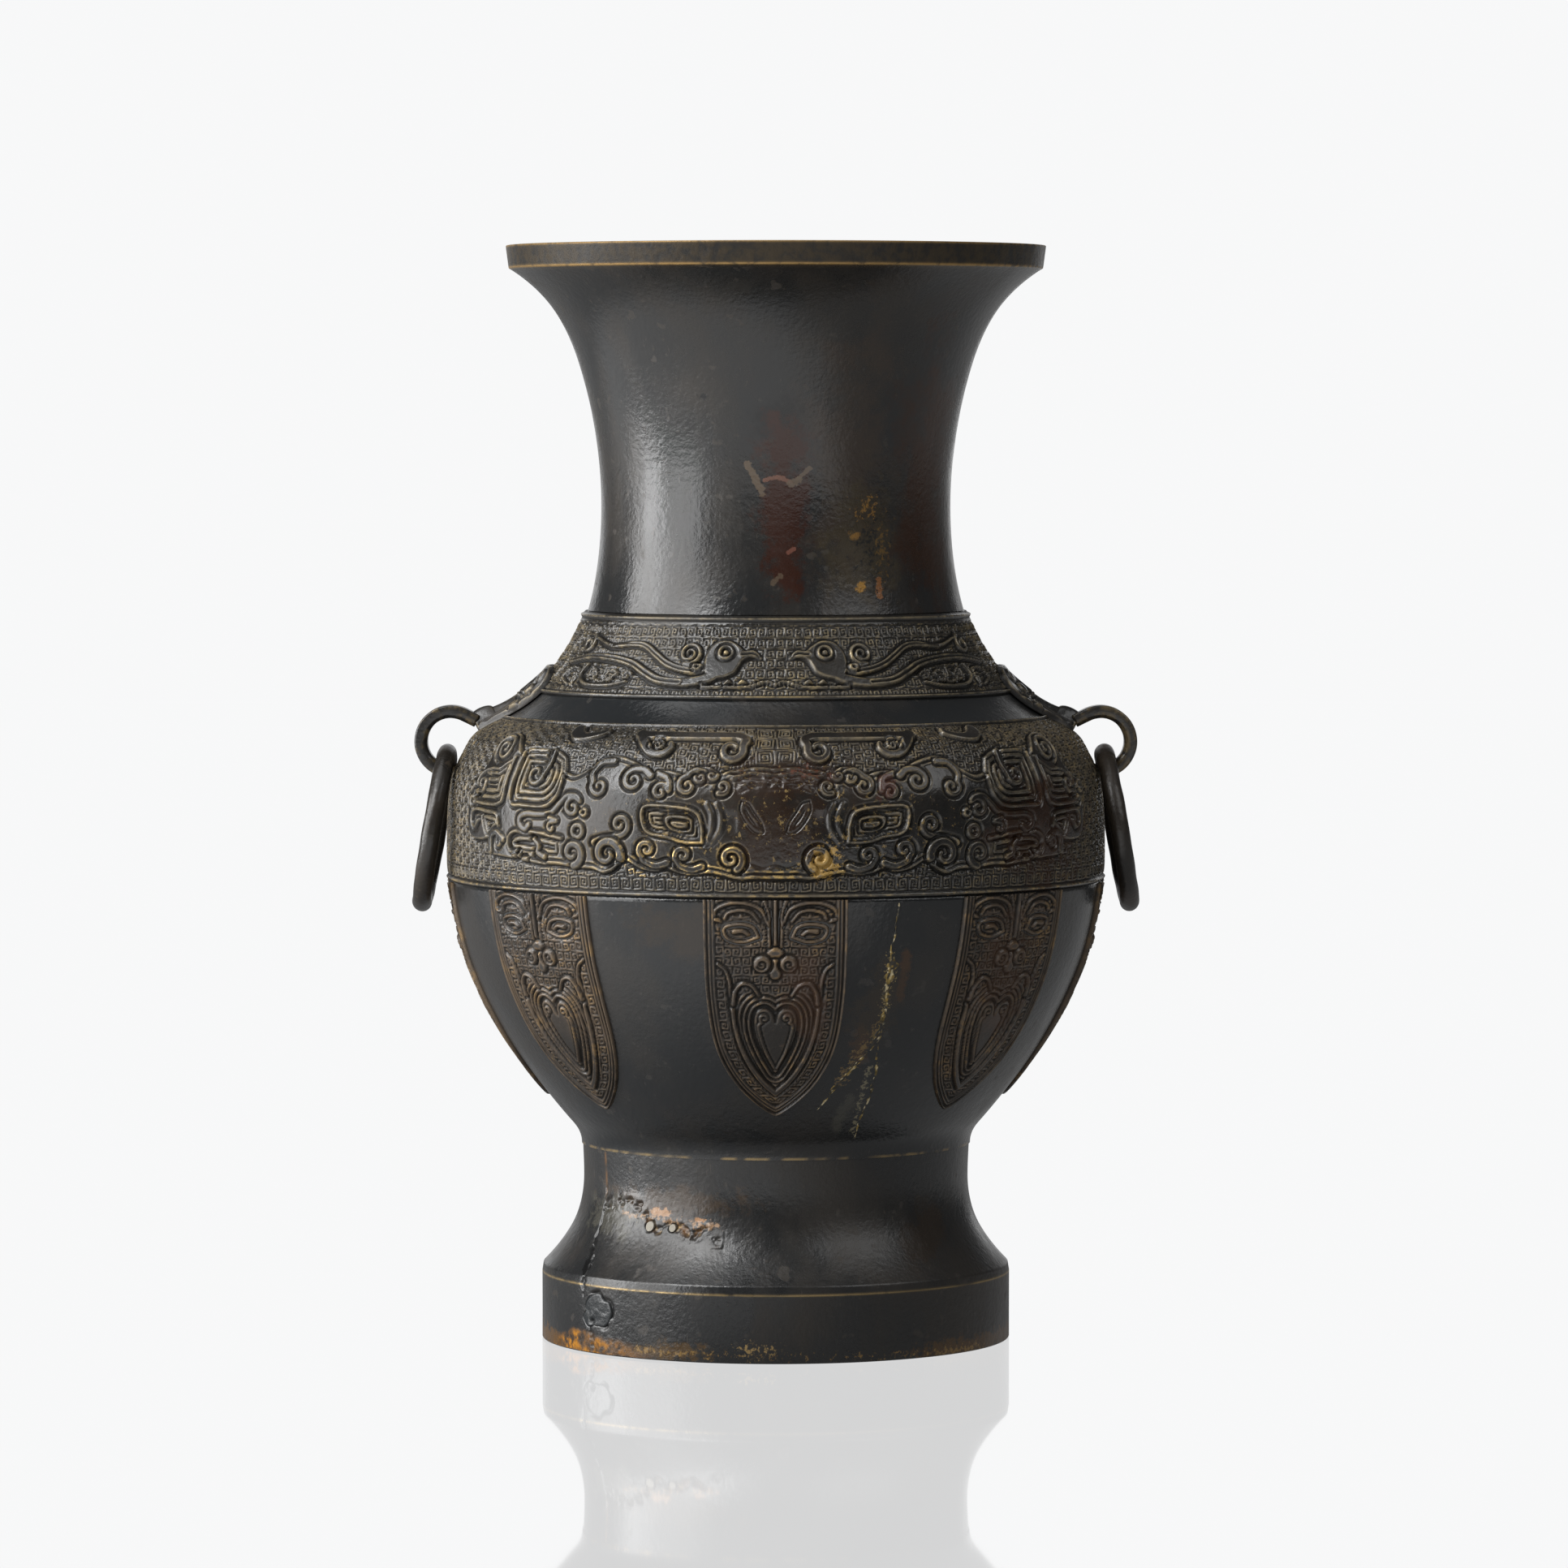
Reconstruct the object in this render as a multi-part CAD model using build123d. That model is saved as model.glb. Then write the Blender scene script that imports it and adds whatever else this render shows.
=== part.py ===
"""Bronze hu vessel with two mask handles that carry loose rings.

Millimetres, +Z up. The foot stands on Z = 0 and the vessel's axis is Z. The front is -Y, and the
handles stand on -X and +X. Every turned line is a list of stations (radius, height, lean), where
lean is the line's angle from the vertical, positive where it flares outward on its way up.
"""
import math
import os

from build123d import *

# Walls and joints shared by all the castings
WALL = 4.0
JOINT_GAP = 0.2            # solder film between a spigot and its socket
HOLE_GAP = 0.1             # round pins and plugs in their holes

# Foot casting
FOOT_R = 103.0             # standing band, outside
FOOT_RIM = 5.0             # width of the face that it stands on
FOOT_BAND_HEIGHT = 31.0
FOOT_BEVEL_HEIGHT = 3.5
FOOT_BEVEL_INSET = 0.6
FOOT_HEIGHT = 88.5         # up to the seam under the belly
FOOT_TOP_R = 85.2
FOOT_WAIST_R = 84.6
FOOT_WAIST_Z = 72.0
FOOT_COVE_R = 90.3         # where the cove turns up into the waist
FOOT_COVE_Z = 48.5
FOOT_SOCKET_DEPTH = 15.5
FOOT_LEDGE_WIDTH = 6.0     # ledge inside the foot that carries the base plate
FOOT_LEDGE_HEIGHT = 7.0
BASE_PLATE_THICK = 4.0

# Belly casting, its heights taken up from the seam or down from the collar
BELLY_HEIGHT = 231.5       # seam to collar
BELLY_R = 144.9            # over the mask band at its widest
BELLY_SEAM_R = 83.8
BELLY_LOW_R = 109.6
BELLY_LOW_UP = 31.5
BELLY_MID_R = 135.1
BELLY_MID_UP = 77.5
BELLY_WIDEST_UP = 124.5
BAND_RELIEF = 0.9          # ornament bands stand out from the plain ground
BAND_LOW_UP = 114.0        # lower border of the mask band
BAND_LOW_INSET = 1.6
SHOULDER_INSET = 2.7       # where the belly starts to round over
SHOULDER_DROP = 75.0
SHOULDER_TURN_INSET = 7.1
SHOULDER_TURN_DROP = 64.0
SHOULDER_TOP_INSET = 12.6
SHOULDER_TOP_DROP = 55.0
STRIP_LOW_INSET = 27.1     # plain strip between the two bands
STRIP_LOW_DROP = 46.0
STRIP_HIGH_OUTSET = 21.5
STRIP_HIGH_DROP = 35.5
BIRD_BAND_OUTSET = 10.7
BIRD_BAND_DROP = 20.5
COLLAR_R = 83.5
COLLAR_WALL = 4.5
COLLAR_DEPTH = 12.0
SPIGOT_WALL = 3.0

# Hanging blades on the belly
BLADE_AZIMUTHS = (-92.0, -46.5, 0.0, 46.5, 92.0, 136.0, 180.0, 224.0)
BLADE_WIDTH = 61.5
BLADE_LENGTH = 97.0
BLADE_STRAIGHT = 42.0      # the sides are nearly straight this far down
BLADE_DRAW = 1.5           # and come in by this much on the way
BLADE_POINT_WIDTH = 45.0   # width part of the way down the point
BLADE_POINT_DROP = 74.0    # and how far down that is
BLADE_RELIEF = 1.0
BLADE_TOP_GAP = 0.8        # plain line between the mask band and the blades

# Neck casting
NECK_HEIGHT = 160.0        # collar to mouth
NECK_BASE_R = 82.6
NECK_WAIST_R = 76.7
NECK_WAIST_UP = 46.0
NECK_FLARE_R = 86.2
NECK_FLARE_DROP = 52.0
NECK_THROAT_R = 96.7
NECK_THROAT_DROP = 29.0
MOUTH_R = 118.5
LIP_WIDTH = 8.0
LIP_HEIGHT = 10.0
LIP_TAPER = 1.3            # the lip's outer face draws in by this much at its lower edge
LIP_LEDGE = 1.2            # and stands out this far from the flare under it
LIP_INNER_DEPTH = 9.0
LIP_ROUND = 0.8

# Mask plates on the shoulder, heights down from the collar
MASK_GAP = 0.15            # solder film under the plate
MASK_THICK = 2.6
MASK_HALF_WIDTH = 25.0
MASK_TOP_DROP = 25.0
MASK_CHIN_HALF_WIDTH = 8.0
MASK_HORN_RISE = 1.0       # horns and brow above the plate
MASK_HORN_WIDTH = 6.0
MASK_EYE_R = 3.4
MASK_EYE_Y = 10.5
MASK_EYE_DROP = 36.5
MASK_SNOUT_R = 4.4
MASK_SNOUT_LENGTH = 14.0
PIN_R = 2.2
PIN_BITE = 1.6             # depth of a pin's blind hole in the plate
PIN_HEAD_R = 4.5
PIN_HEAD_THICK = 2.0
PIN_SEAT = 0.5             # flat cut into the wall under a pin's head
PIN_HIGH_DROP = 32.0
PIN_LOW_DROP = 44.0

# Strap loops
LOOP_DROP = 57.5           # centre of the eye, down from the collar
LOOP_STAND = 8.6           # centre of the eye, out from the belly's side
LOOP_EYE_R = 10.3
LOOP_THICK = 5.6
LOOP_DEPTH = 12.0
LOOP_CHAMFER = 2.4
LOOP_ROOT_ANGLE = 115.0    # where the straight root leaves the eye
LOOP_ROOT_LENGTH = 6.5
LOOP_GAP = 0.15            # solder film at the tail

# Rings
RING_R = 33.2              # to the middle of the wire
RING_WIRE_R = 4.15
RING_PLAY = 0.55           # wire to the bottom of the eye
RING_SEAT_ANGLE = 17.0     # where the wire lies in the eye, outward from the bottom
RING_LEAN = 9.7            # ring's plane from the vertical, bottom outward

# Repairs
BAND_PLUG_R = 7.0
BAND_PLUG_AZIMUTH = -49.0
BAND_PLUG_Z = 18.5
SMALL_PLUG_RADII = (2.2, 1.7)
SMALL_PLUG_AZIMUTHS = (-38.7, -30.8)
SMALL_PLUG_Z = 55.5
CRACK_AZIMUTH = 21.5
CRACK_WIDTH = 2.6
CRACK_DEPTH = 2.0
CRACK_END_UP = 5.0         # lower end above the seam
CRACK_TOP_GAP = 2.0        # upper end below the mask band


def along(lean):
    """Direction of a line with this lean, as (radius, height)."""
    angle = math.radians(lean)
    return math.sin(angle), math.cos(angle)


def moved_out(stations, distance):
    """The same line moved square to itself, away from the axis where distance is positive."""
    line = []
    for r, z, lean in stations:
        s, c = along(lean)
        line.append((r + distance * c, z - distance * s, lean))
    return line


def span(low, high):
    """Control points of the smooth span between two stations."""
    third = math.dist(low[:2], high[:2]) / 3
    s0, c0 = along(low[2])
    s1, c1 = along(high[2])
    return (
        low[:2],
        (low[0] + third * s0, low[1] + third * c0),
        (high[0] - third * s1, high[1] - third * c1),
        high[:2],
    )


def smooth(stations):
    edges = []
    for low, high in zip(stations, stations[1:]):
        edges.append(Bezier(*[(r, 0, z) for r, z in span(low, high)]))
    return edges


def straight(*points):
    edges = []
    for a, b in zip(points, points[1:]):
        edges.append(Line((a[0], 0, a[1]), (b[0], 0, b[1])))
    return edges


def turned(edges):
    """Solid swept by a closed outline about the vessel's axis."""
    return revolve(make_face(edges), Axis.Z, 360)


def station_at(stations, height):
    """Station of a smooth line at one height."""
    for low, high in zip(stations, stations[1:]):
        if low[1] <= height <= high[1]:
            p0, p1, p2, p3 = span(low, high)
            a, b = 0.0, 1.0
            for _ in range(50):
                t = (a + b) / 2
                u = 1 - t
                z = u**3 * p0[1] + 3 * u * u * t * p1[1] + 3 * u * t * t * p2[1] + t**3 * p3[1]
                a, b = (t, b) if z < height else (a, t)
            r = u**3 * p0[0] + 3 * u * u * t * p1[0] + 3 * u * t * t * p2[0] + t**3 * p3[0]
            slopes = []
            for i in (0, 1):
                first = u * u * (p1[i] - p0[i])
                middle = 2 * u * t * (p2[i] - p1[i])
                slopes.append(first + middle + t * t * (p3[i] - p2[i]))
            return r, height, math.degrees(math.atan2(slopes[0], slopes[1]))
    raise ValueError("height is off the line")


def facing(azimuth):
    """Turn from the front, -Y, to an azimuth; positive goes to the viewer's right."""
    return Rot(0, 0, azimuth)


def radial_rod(radius, azimuth, height):
    """Level rod from the axis outward, to bore a wall or to cut a plug for it."""
    rod = Rot(90, 0, 0) * Cylinder(radius, 2 * FOOT_R, align=(Align.CENTER, Align.CENTER, Align.MIN))
    return Pos(0, 0, height) * facing(azimuth) * rod


# Heights of the seams
collar_z = FOOT_HEIGHT + BELLY_HEIGHT
mouth_z = collar_z + NECK_HEIGHT

# Belly: the plain ground from the seam up to the collar
ground = [
    (BELLY_SEAM_R, FOOT_HEIGHT, 42),
    (BELLY_LOW_R, FOOT_HEIGHT + BELLY_LOW_UP, 37),
    (BELLY_MID_R, FOOT_HEIGHT + BELLY_MID_UP, 20.5),
    (BELLY_R - BAND_LOW_INSET, FOOT_HEIGHT + BAND_LOW_UP, 7),
    (BELLY_R - BAND_RELIEF, FOOT_HEIGHT + BELLY_WIDEST_UP, 0),
    (BELLY_R - SHOULDER_INSET, collar_z - SHOULDER_DROP, -10),
    (BELLY_R - SHOULDER_TURN_INSET, collar_z - SHOULDER_TURN_DROP, -28),
    (BELLY_R - SHOULDER_TOP_INSET, collar_z - SHOULDER_TOP_DROP, -46),
    (BELLY_R - STRIP_LOW_INSET, collar_z - STRIP_LOW_DROP, -57),
    (COLLAR_R + STRIP_HIGH_OUTSET, collar_z - STRIP_HIGH_DROP, -44),
    (COLLAR_R + BIRD_BAND_OUTSET, collar_z - BIRD_BAND_DROP, -36),
    (COLLAR_R, collar_z, -20),
]
plain = ground[:4]
mask_band = moved_out(ground[3:9], BAND_RELIEF)
strip = ground[8:10]
bird_band = moved_out(ground[9:], BAND_RELIEF)
inside = moved_out(ground[:11], -WALL)

collar_socket_r = COLLAR_R - COLLAR_WALL
seat_z = bird_band[-1][1]
foot_socket_r = FOOT_TOP_R - WALL
ledge_z = FOOT_HEIGHT - FOOT_SOCKET_DEPTH
belly_spigot_r = foot_socket_r - JOINT_GAP
belly_end_z = ledge_z + BASE_PLATE_THICK + JOINT_GAP
belly_blank = turned(
    smooth(plain)
    + straight(plain[-1], mask_band[0])
    + smooth(mask_band)
    + straight(mask_band[-1], strip[0])
    + smooth(strip)
    + straight(strip[-1], bird_band[0])
    + smooth(bird_band)
    + straight(
        bird_band[-1],
        (collar_socket_r, seat_z),
        (collar_socket_r, seat_z - COLLAR_DEPTH),
        inside[-1],
    )
    + smooth(inside)
    + straight(
        inside[0],
        (belly_spigot_r - SPIGOT_WALL, FOOT_HEIGHT),
        (belly_spigot_r - SPIGOT_WALL, belly_end_z),
        (belly_spigot_r, belly_end_z),
        (belly_spigot_r, FOOT_HEIGHT),
        plain[0],
    )
)

# Repaired crack: a shallow groove down the wall, and the solder that fills it
crack_low = FOOT_HEIGHT + CRACK_END_UP
crack_high = FOOT_HEIGHT + BAND_LOW_UP - CRACK_TOP_GAP
crack_bed = moved_out(plain, -CRACK_DEPTH)
crack_skin = moved_out(plain, BAND_RELIEF)
crack_shell = turned(
    smooth(crack_bed) + straight(crack_bed[-1], crack_skin[-1]) + smooth(crack_skin)
    + straight(crack_skin[0], crack_bed[0])
)
crack_slab = Box(CRACK_WIDTH, 2 * BELLY_R, crack_high - crack_low, align=(Align.CENTER, Align.MAX, Align.MIN))
crack_cut = crack_shell & (Pos(0, 0, crack_low) * facing(CRACK_AZIMUTH) * crack_slab)
belly_crack_solder = belly_blank & crack_cut
belly = belly_blank - crack_cut

# Blades: one pointed panel lying on the ground, set round the belly by eye
blade_top = FOOT_HEIGHT + BAND_LOW_UP - BLADE_TOP_GAP
blade_half = BLADE_WIDTH / 2
blade_turn = (blade_half - BLADE_DRAW, 0, blade_top - BLADE_STRAIGHT)
blade_tip = (0, 0, blade_top - BLADE_LENGTH)
blade_bulge = (BLADE_POINT_WIDTH / 2, 0, blade_top - BLADE_POINT_DROP)
blade_side = Line((blade_half, 0, blade_top), blade_turn) + ThreePointArc(blade_turn, blade_bulge, blade_tip)
blade_outline = make_face(
    blade_side.edges()
    + mirror(blade_side, about=Plane.YZ).edges()
    + [Line((-blade_half, 0, blade_top), (blade_half, 0, blade_top))]
)
blade_root = moved_out(plain, -WALL / 4)
blade_face = moved_out(plain, BLADE_RELIEF)
blade_shell = turned(
    smooth(blade_root) + straight(blade_root[-1], blade_face[-1]) + smooth(blade_face)
    + straight(blade_face[0], blade_root[0])
)
blade = extrude(blade_outline, amount=2 * BELLY_R, dir=(0, -1, 0)) & blade_shell
for azimuth in BLADE_AZIMUTHS:
    belly += facing(azimuth) * blade

# Foot: a turned ring with a ledge inside for the base plate and a socket for the belly's spigot
cove = [
    (FOOT_R - FOOT_BEVEL_INSET, FOOT_BAND_HEIGHT + FOOT_BEVEL_HEIGHT, -45),
    (FOOT_COVE_R, FOOT_COVE_Z, -30),
    (FOOT_WAIST_R, FOOT_WAIST_Z, 0),
    (FOOT_TOP_R, FOOT_HEIGHT, 2),
]
foot_ledge_r = foot_socket_r - FOOT_LEDGE_WIDTH
foot_ledge_low = ledge_z - FOOT_LEDGE_HEIGHT
foot_inside = [
    (FOOT_R - FOOT_RIM, FOOT_BAND_HEIGHT - FOOT_RIM / 2, -15),
    moved_out(cove[1:2], -WALL)[0],
    (FOOT_WAIST_R - WALL, foot_ledge_low - FOOT_LEDGE_WIDTH, -4),
]
foot_blank = turned(
    straight((FOOT_R, 0), (FOOT_R, FOOT_BAND_HEIGHT), cove[0])
    + smooth(cove)
    + straight(
        cove[-1],
        (foot_socket_r, FOOT_HEIGHT),
        (foot_socket_r, ledge_z),
        (foot_ledge_r, ledge_z),
        (foot_ledge_r, foot_ledge_low),
        foot_inside[-1],
    )
    + smooth(foot_inside)
    + straight(foot_inside[0], (FOOT_R - FOOT_RIM, 0), (FOOT_R, 0))
)
foot = foot_blank - radial_rod(BAND_PLUG_R, BAND_PLUG_AZIMUTH, BAND_PLUG_Z)
foot_band_plug = foot_blank & radial_rod(BAND_PLUG_R - HOLE_GAP, BAND_PLUG_AZIMUTH, BAND_PLUG_Z)
foot_neck_plugs = []
for radius, azimuth in zip(SMALL_PLUG_RADII, SMALL_PLUG_AZIMUTHS):
    foot -= radial_rod(radius, azimuth, SMALL_PLUG_Z)
    foot_neck_plugs.append(foot_blank & radial_rod(radius - HOLE_GAP, azimuth, SMALL_PLUG_Z))

# Base plate: a disc on the foot's ledge, under the belly's spigot
base_plate = Pos(0, 0, ledge_z) * Cylinder(
    foot_socket_r - JOINT_GAP, BASE_PLATE_THICK, align=(Align.CENTER, Align.CENTER, Align.MIN)
)

# Neck: its foot stands on the collar and its spigot drops inside
neck_spigot_r = collar_socket_r - JOINT_GAP
neck_line = [
    (NECK_BASE_R, seat_z, -16),
    (NECK_WAIST_R, seat_z + NECK_WAIST_UP, 0),
    (NECK_FLARE_R, mouth_z - NECK_FLARE_DROP, 17),
    (NECK_THROAT_R, mouth_z - NECK_THROAT_DROP, 34),
    (MOUTH_R - LIP_TAPER - LIP_LEDGE, mouth_z - LIP_HEIGHT - LIP_LEDGE / 2, 57),
]
neck_inside = moved_out(neck_line[1:4], -WALL)
neck_inside.append((MOUTH_R - LIP_WIDTH, mouth_z - LIP_INNER_DEPTH, 52))
neck = turned(
    straight((neck_spigot_r, seat_z), (NECK_BASE_R, seat_z))
    + smooth(neck_line)
    + straight(
        neck_line[-1],
        (MOUTH_R - LIP_TAPER, mouth_z - LIP_HEIGHT),
        (MOUTH_R, mouth_z),
        (MOUTH_R - LIP_WIDTH, mouth_z),
        neck_inside[-1],
    )
    + smooth(neck_inside)
    + smooth([(neck_spigot_r - SPIGOT_WALL, seat_z, -12), neck_inside[0]])
    + straight(
        (neck_spigot_r - SPIGOT_WALL, seat_z),
        (neck_spigot_r - SPIGOT_WALL, seat_z - COLLAR_DEPTH + 1),
        (neck_spigot_r, seat_z - COLLAR_DEPTH + 1),
        (neck_spigot_r, seat_z),
    )
)
neck = fillet(neck.edges().filter_by(GeomType.CIRCLE).group_by(Axis.Z)[-1], LIP_ROUND)


def wrapped(distance):
    """The vessel's shoulder and belly as a solid, grown outward by distance from the ground."""
    line = moved_out(ground, distance)
    return turned(smooth(line) + straight(line[-1], (0, line[-1][1]), (0, line[0][1]), line[0]))


# Strap loop on +X: a straight root and most of a circle, its tail cut to the belly's side
eye_z = collar_z - LOOP_DROP
eye_x = station_at(ground, eye_z)[0] + LOOP_STAND
loop_mid_r = LOOP_EYE_R + LOOP_THICK / 2
root_angle = math.radians(LOOP_ROOT_ANGLE)
root_join = (eye_x + loop_mid_r * math.cos(root_angle), 0, eye_z + loop_mid_r * math.sin(root_angle))
root_way = (math.sin(root_angle), 0, -math.cos(root_angle))
root_end = tuple(p - LOOP_ROOT_LENGTH * d for p, d in zip(root_join, root_way))
tail_end = (eye_x - loop_mid_r * math.sin(math.radians(35)), 0, eye_z - loop_mid_r * math.cos(math.radians(35)))
loop_path = Line(root_end, root_join) + ThreePointArc(root_join, (eye_x + loop_mid_r, 0, eye_z), tail_end)
root_plane = Plane(root_end, x_dir=(0, 1, 0), z_dir=root_way)
half_deep = LOOP_DEPTH / 2
half_thick = LOOP_THICK / 2
edge = LOOP_CHAMFER / 2
loop_section = make_face(
    Polyline(
        (-half_deep, half_thick - edge),
        (-half_deep + edge, half_thick),
        (half_deep - edge, half_thick),
        (half_deep, half_thick - edge),
        (half_deep, LOOP_CHAMFER - half_thick),
        (half_deep - LOOP_CHAMFER, -half_thick),
        (LOOP_CHAMFER - half_deep, -half_thick),
        (-half_deep, LOOP_CHAMFER - half_thick),
        close=True,
    )
)
if root_plane.y_dir.Z < 0:
    loop_section = mirror(loop_section, about=Plane.XZ)
loop_blank = sweep(root_plane * loop_section, path=loop_path)
right_loop = loop_blank - wrapped(BAND_RELIEF + LOOP_GAP)

# Mask plate on +X: a shield bent to the shoulder, with horns, eyes and a snout that meets the loop
mask_top = station_at(ground, collar_z - MASK_TOP_DROP)
mask_slope = math.degrees(math.atan2(root_end[0] - mask_top[0], root_end[2] - mask_top[1]))
mask_length = math.dist(mask_top[:2], (root_end[0], root_end[2])) + LOOP_DEPTH
slope_s, slope_c = along(mask_slope)
mask_plane = Plane((mask_top[0], 0, mask_top[1]), x_dir=(slope_s, 0, slope_c), z_dir=(-slope_c, 0, slope_s))
mask_half = make_face(
    Polyline((mask_length, 0), (0, 0), (0, MASK_HALF_WIDTH * 0.35)).edges()
    + [Bezier(
        (0, MASK_HALF_WIDTH * 0.35),
        (-4, MASK_HALF_WIDTH * 0.8),
        (3, MASK_HALF_WIDTH * 1.1),
        (mask_length * 0.25, MASK_HALF_WIDTH),
    )]
    + [Bezier(
        (mask_length * 0.25, MASK_HALF_WIDTH),
        (mask_length * 0.5, MASK_HALF_WIDTH * 0.85),
        (mask_length * 0.6, MASK_CHIN_HALF_WIDTH * 1.4),
        (mask_length, MASK_CHIN_HALF_WIDTH),
    )]
    + [Line((mask_length, MASK_CHIN_HALF_WIDTH), (mask_length, 0))]
)
mask_outline = mask_half + mirror(mask_half, about=Plane.XZ)
horn_ridge = make_face(
    Bezier((5, 3), (7, 10), (9, MASK_HALF_WIDTH * 0.6), (4, MASK_HALF_WIDTH * 0.8)).edges()
    + [Line((4, MASK_HALF_WIDTH * 0.8), (4 + MASK_HORN_WIDTH, MASK_HALF_WIDTH * 0.86))]
    + Bezier(
        (4 + MASK_HORN_WIDTH, MASK_HALF_WIDTH * 0.86),
        (9 + MASK_HORN_WIDTH, MASK_HALF_WIDTH * 0.6),
        (7 + MASK_HORN_WIDTH, 10),
        (5 + MASK_HORN_WIDTH, 3),
    ).edges()
    + [Line((5 + MASK_HORN_WIDTH, 3), (5, 3))]
)
horns = horn_ridge + mirror(horn_ridge, about=Plane.XZ)
plate_low = BAND_RELIEF + MASK_GAP
plate_high = plate_low + MASK_THICK
seat = wrapped(plate_low)
right_mask = extrude(mask_plane * mask_outline, amount=MASK_HALF_WIDTH, both=True) & (wrapped(plate_high) - seat)
right_mask += extrude(mask_plane * horns, amount=MASK_HALF_WIDTH, both=True) & (
    wrapped(plate_high + MASK_HORN_RISE) - seat
)
eye_r, eye_height, _ = moved_out([station_at(ground, collar_z - MASK_EYE_DROP)], plate_high)[0]
eye_turn = math.degrees(math.asin(MASK_EYE_Y / eye_r))
mask_tools = []
for side in (-1, 1):
    mask_tools.append(Rot(0, 0, side * eye_turn) * Pos(eye_r, 0, eye_height) * Sphere(MASK_EYE_R))
snout_axis = Plane(root_end, x_dir=(0, 1, 0), z_dir=(-slope_s, 0, -slope_c))
mask_tools.append(
    snout_axis * Pos(0, 0, MASK_SNOUT_LENGTH / 2 - MASK_SNOUT_R) * Cylinder(MASK_SNOUT_R, MASK_SNOUT_LENGTH)
)
for tool in mask_tools:
    right_mask += tool - seat
root_side = root_plane * Box(
    4 * MASK_HALF_WIDTH, 4 * MASK_HALF_WIDTH, 2 * MASK_HALF_WIDTH, align=(Align.CENTER, Align.CENTER, Align.MIN)
)
right_mask = right_mask - root_side

# Pins that hold the mask: driven from inside, a flat seat cut in the wall under each head
right_pins = []
seats = []
for drop in (PIN_HIGH_DROP, PIN_LOW_DROP):
    r, z, lean = station_at(ground, collar_z - drop)
    s, c = along(lean)
    pin_plane = Plane((r, 0, z), x_dir=(0, 1, 0), z_dir=(c, 0, -s))
    seat_depth = WALL - PIN_SEAT
    reach = plate_low + PIN_BITE
    shank_length = seat_depth + reach
    shank = pin_plane * Pos(0, 0, -seat_depth) * Cylinder(
        PIN_R, shank_length, align=(Align.CENTER, Align.CENTER, Align.MIN)
    )
    head = pin_plane * Pos(0, 0, -seat_depth) * Cylinder(
        PIN_HEAD_R, PIN_HEAD_THICK, align=(Align.CENTER, Align.CENTER, Align.MAX)
    )
    hole = pin_plane * Pos(0, 0, -2 * WALL) * Cylinder(
        PIN_R + HOLE_GAP, 2 * WALL + reach, align=(Align.CENTER, Align.CENTER, Align.MIN)
    )
    flat = pin_plane * Pos(0, 0, -seat_depth) * Cylinder(
        PIN_HEAD_R + HOLE_GAP, 2 * PIN_HEAD_THICK, align=(Align.CENTER, Align.CENTER, Align.MAX)
    )
    right_pins.append(shank + head)
    seats += [hole, flat]
    right_mask = right_mask - hole
for cut in seats:
    belly = belly - cut
    belly = belly - mirror(cut, about=Plane.YZ)

# Ring on +X: its wire lies in the bottom of the eye and its plane leans out at the bottom
seat_angle = math.radians(RING_SEAT_ANGLE)
seat_reach = LOOP_EYE_R - RING_WIRE_R - RING_PLAY
hinge = (eye_x + seat_reach * math.sin(seat_angle), eye_z - seat_reach * math.cos(seat_angle))
lean_s, lean_c = along(RING_LEAN)
ring_centre = (hinge[0] + RING_R * lean_s, 0, hinge[1] - RING_R * lean_c)
right_ring = Plane(ring_centre, x_dir=(0, 1, 0), z_dir=(lean_c, 0, lean_s)) * Torus(RING_R, RING_WIRE_R)

parts = {
    "foot": foot,
    "base_plate": base_plate,
    "belly": belly,
    "neck": neck,
    "right_mask": right_mask,
    "right_loop": right_loop,
    "right_mask_pins": Compound(children=right_pins),
    "right_ring": right_ring,
    "left_mask": mirror(right_mask, about=Plane.YZ),
    "left_loop": mirror(right_loop, about=Plane.YZ),
    "left_mask_pins": Compound(children=[mirror(pin, about=Plane.YZ) for pin in right_pins]),
    "left_ring": mirror(right_ring, about=Plane.YZ),
    "foot_band_plug": foot_band_plug,
    "foot_neck_plugs": Compound(children=foot_neck_plugs),
    "belly_crack_solder": belly_crack_solder,
}
os.makedirs("parts", exist_ok=True)
for name, piece in parts.items():
    export_step(piece, f"parts/{name}.step")
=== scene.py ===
import math

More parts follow.
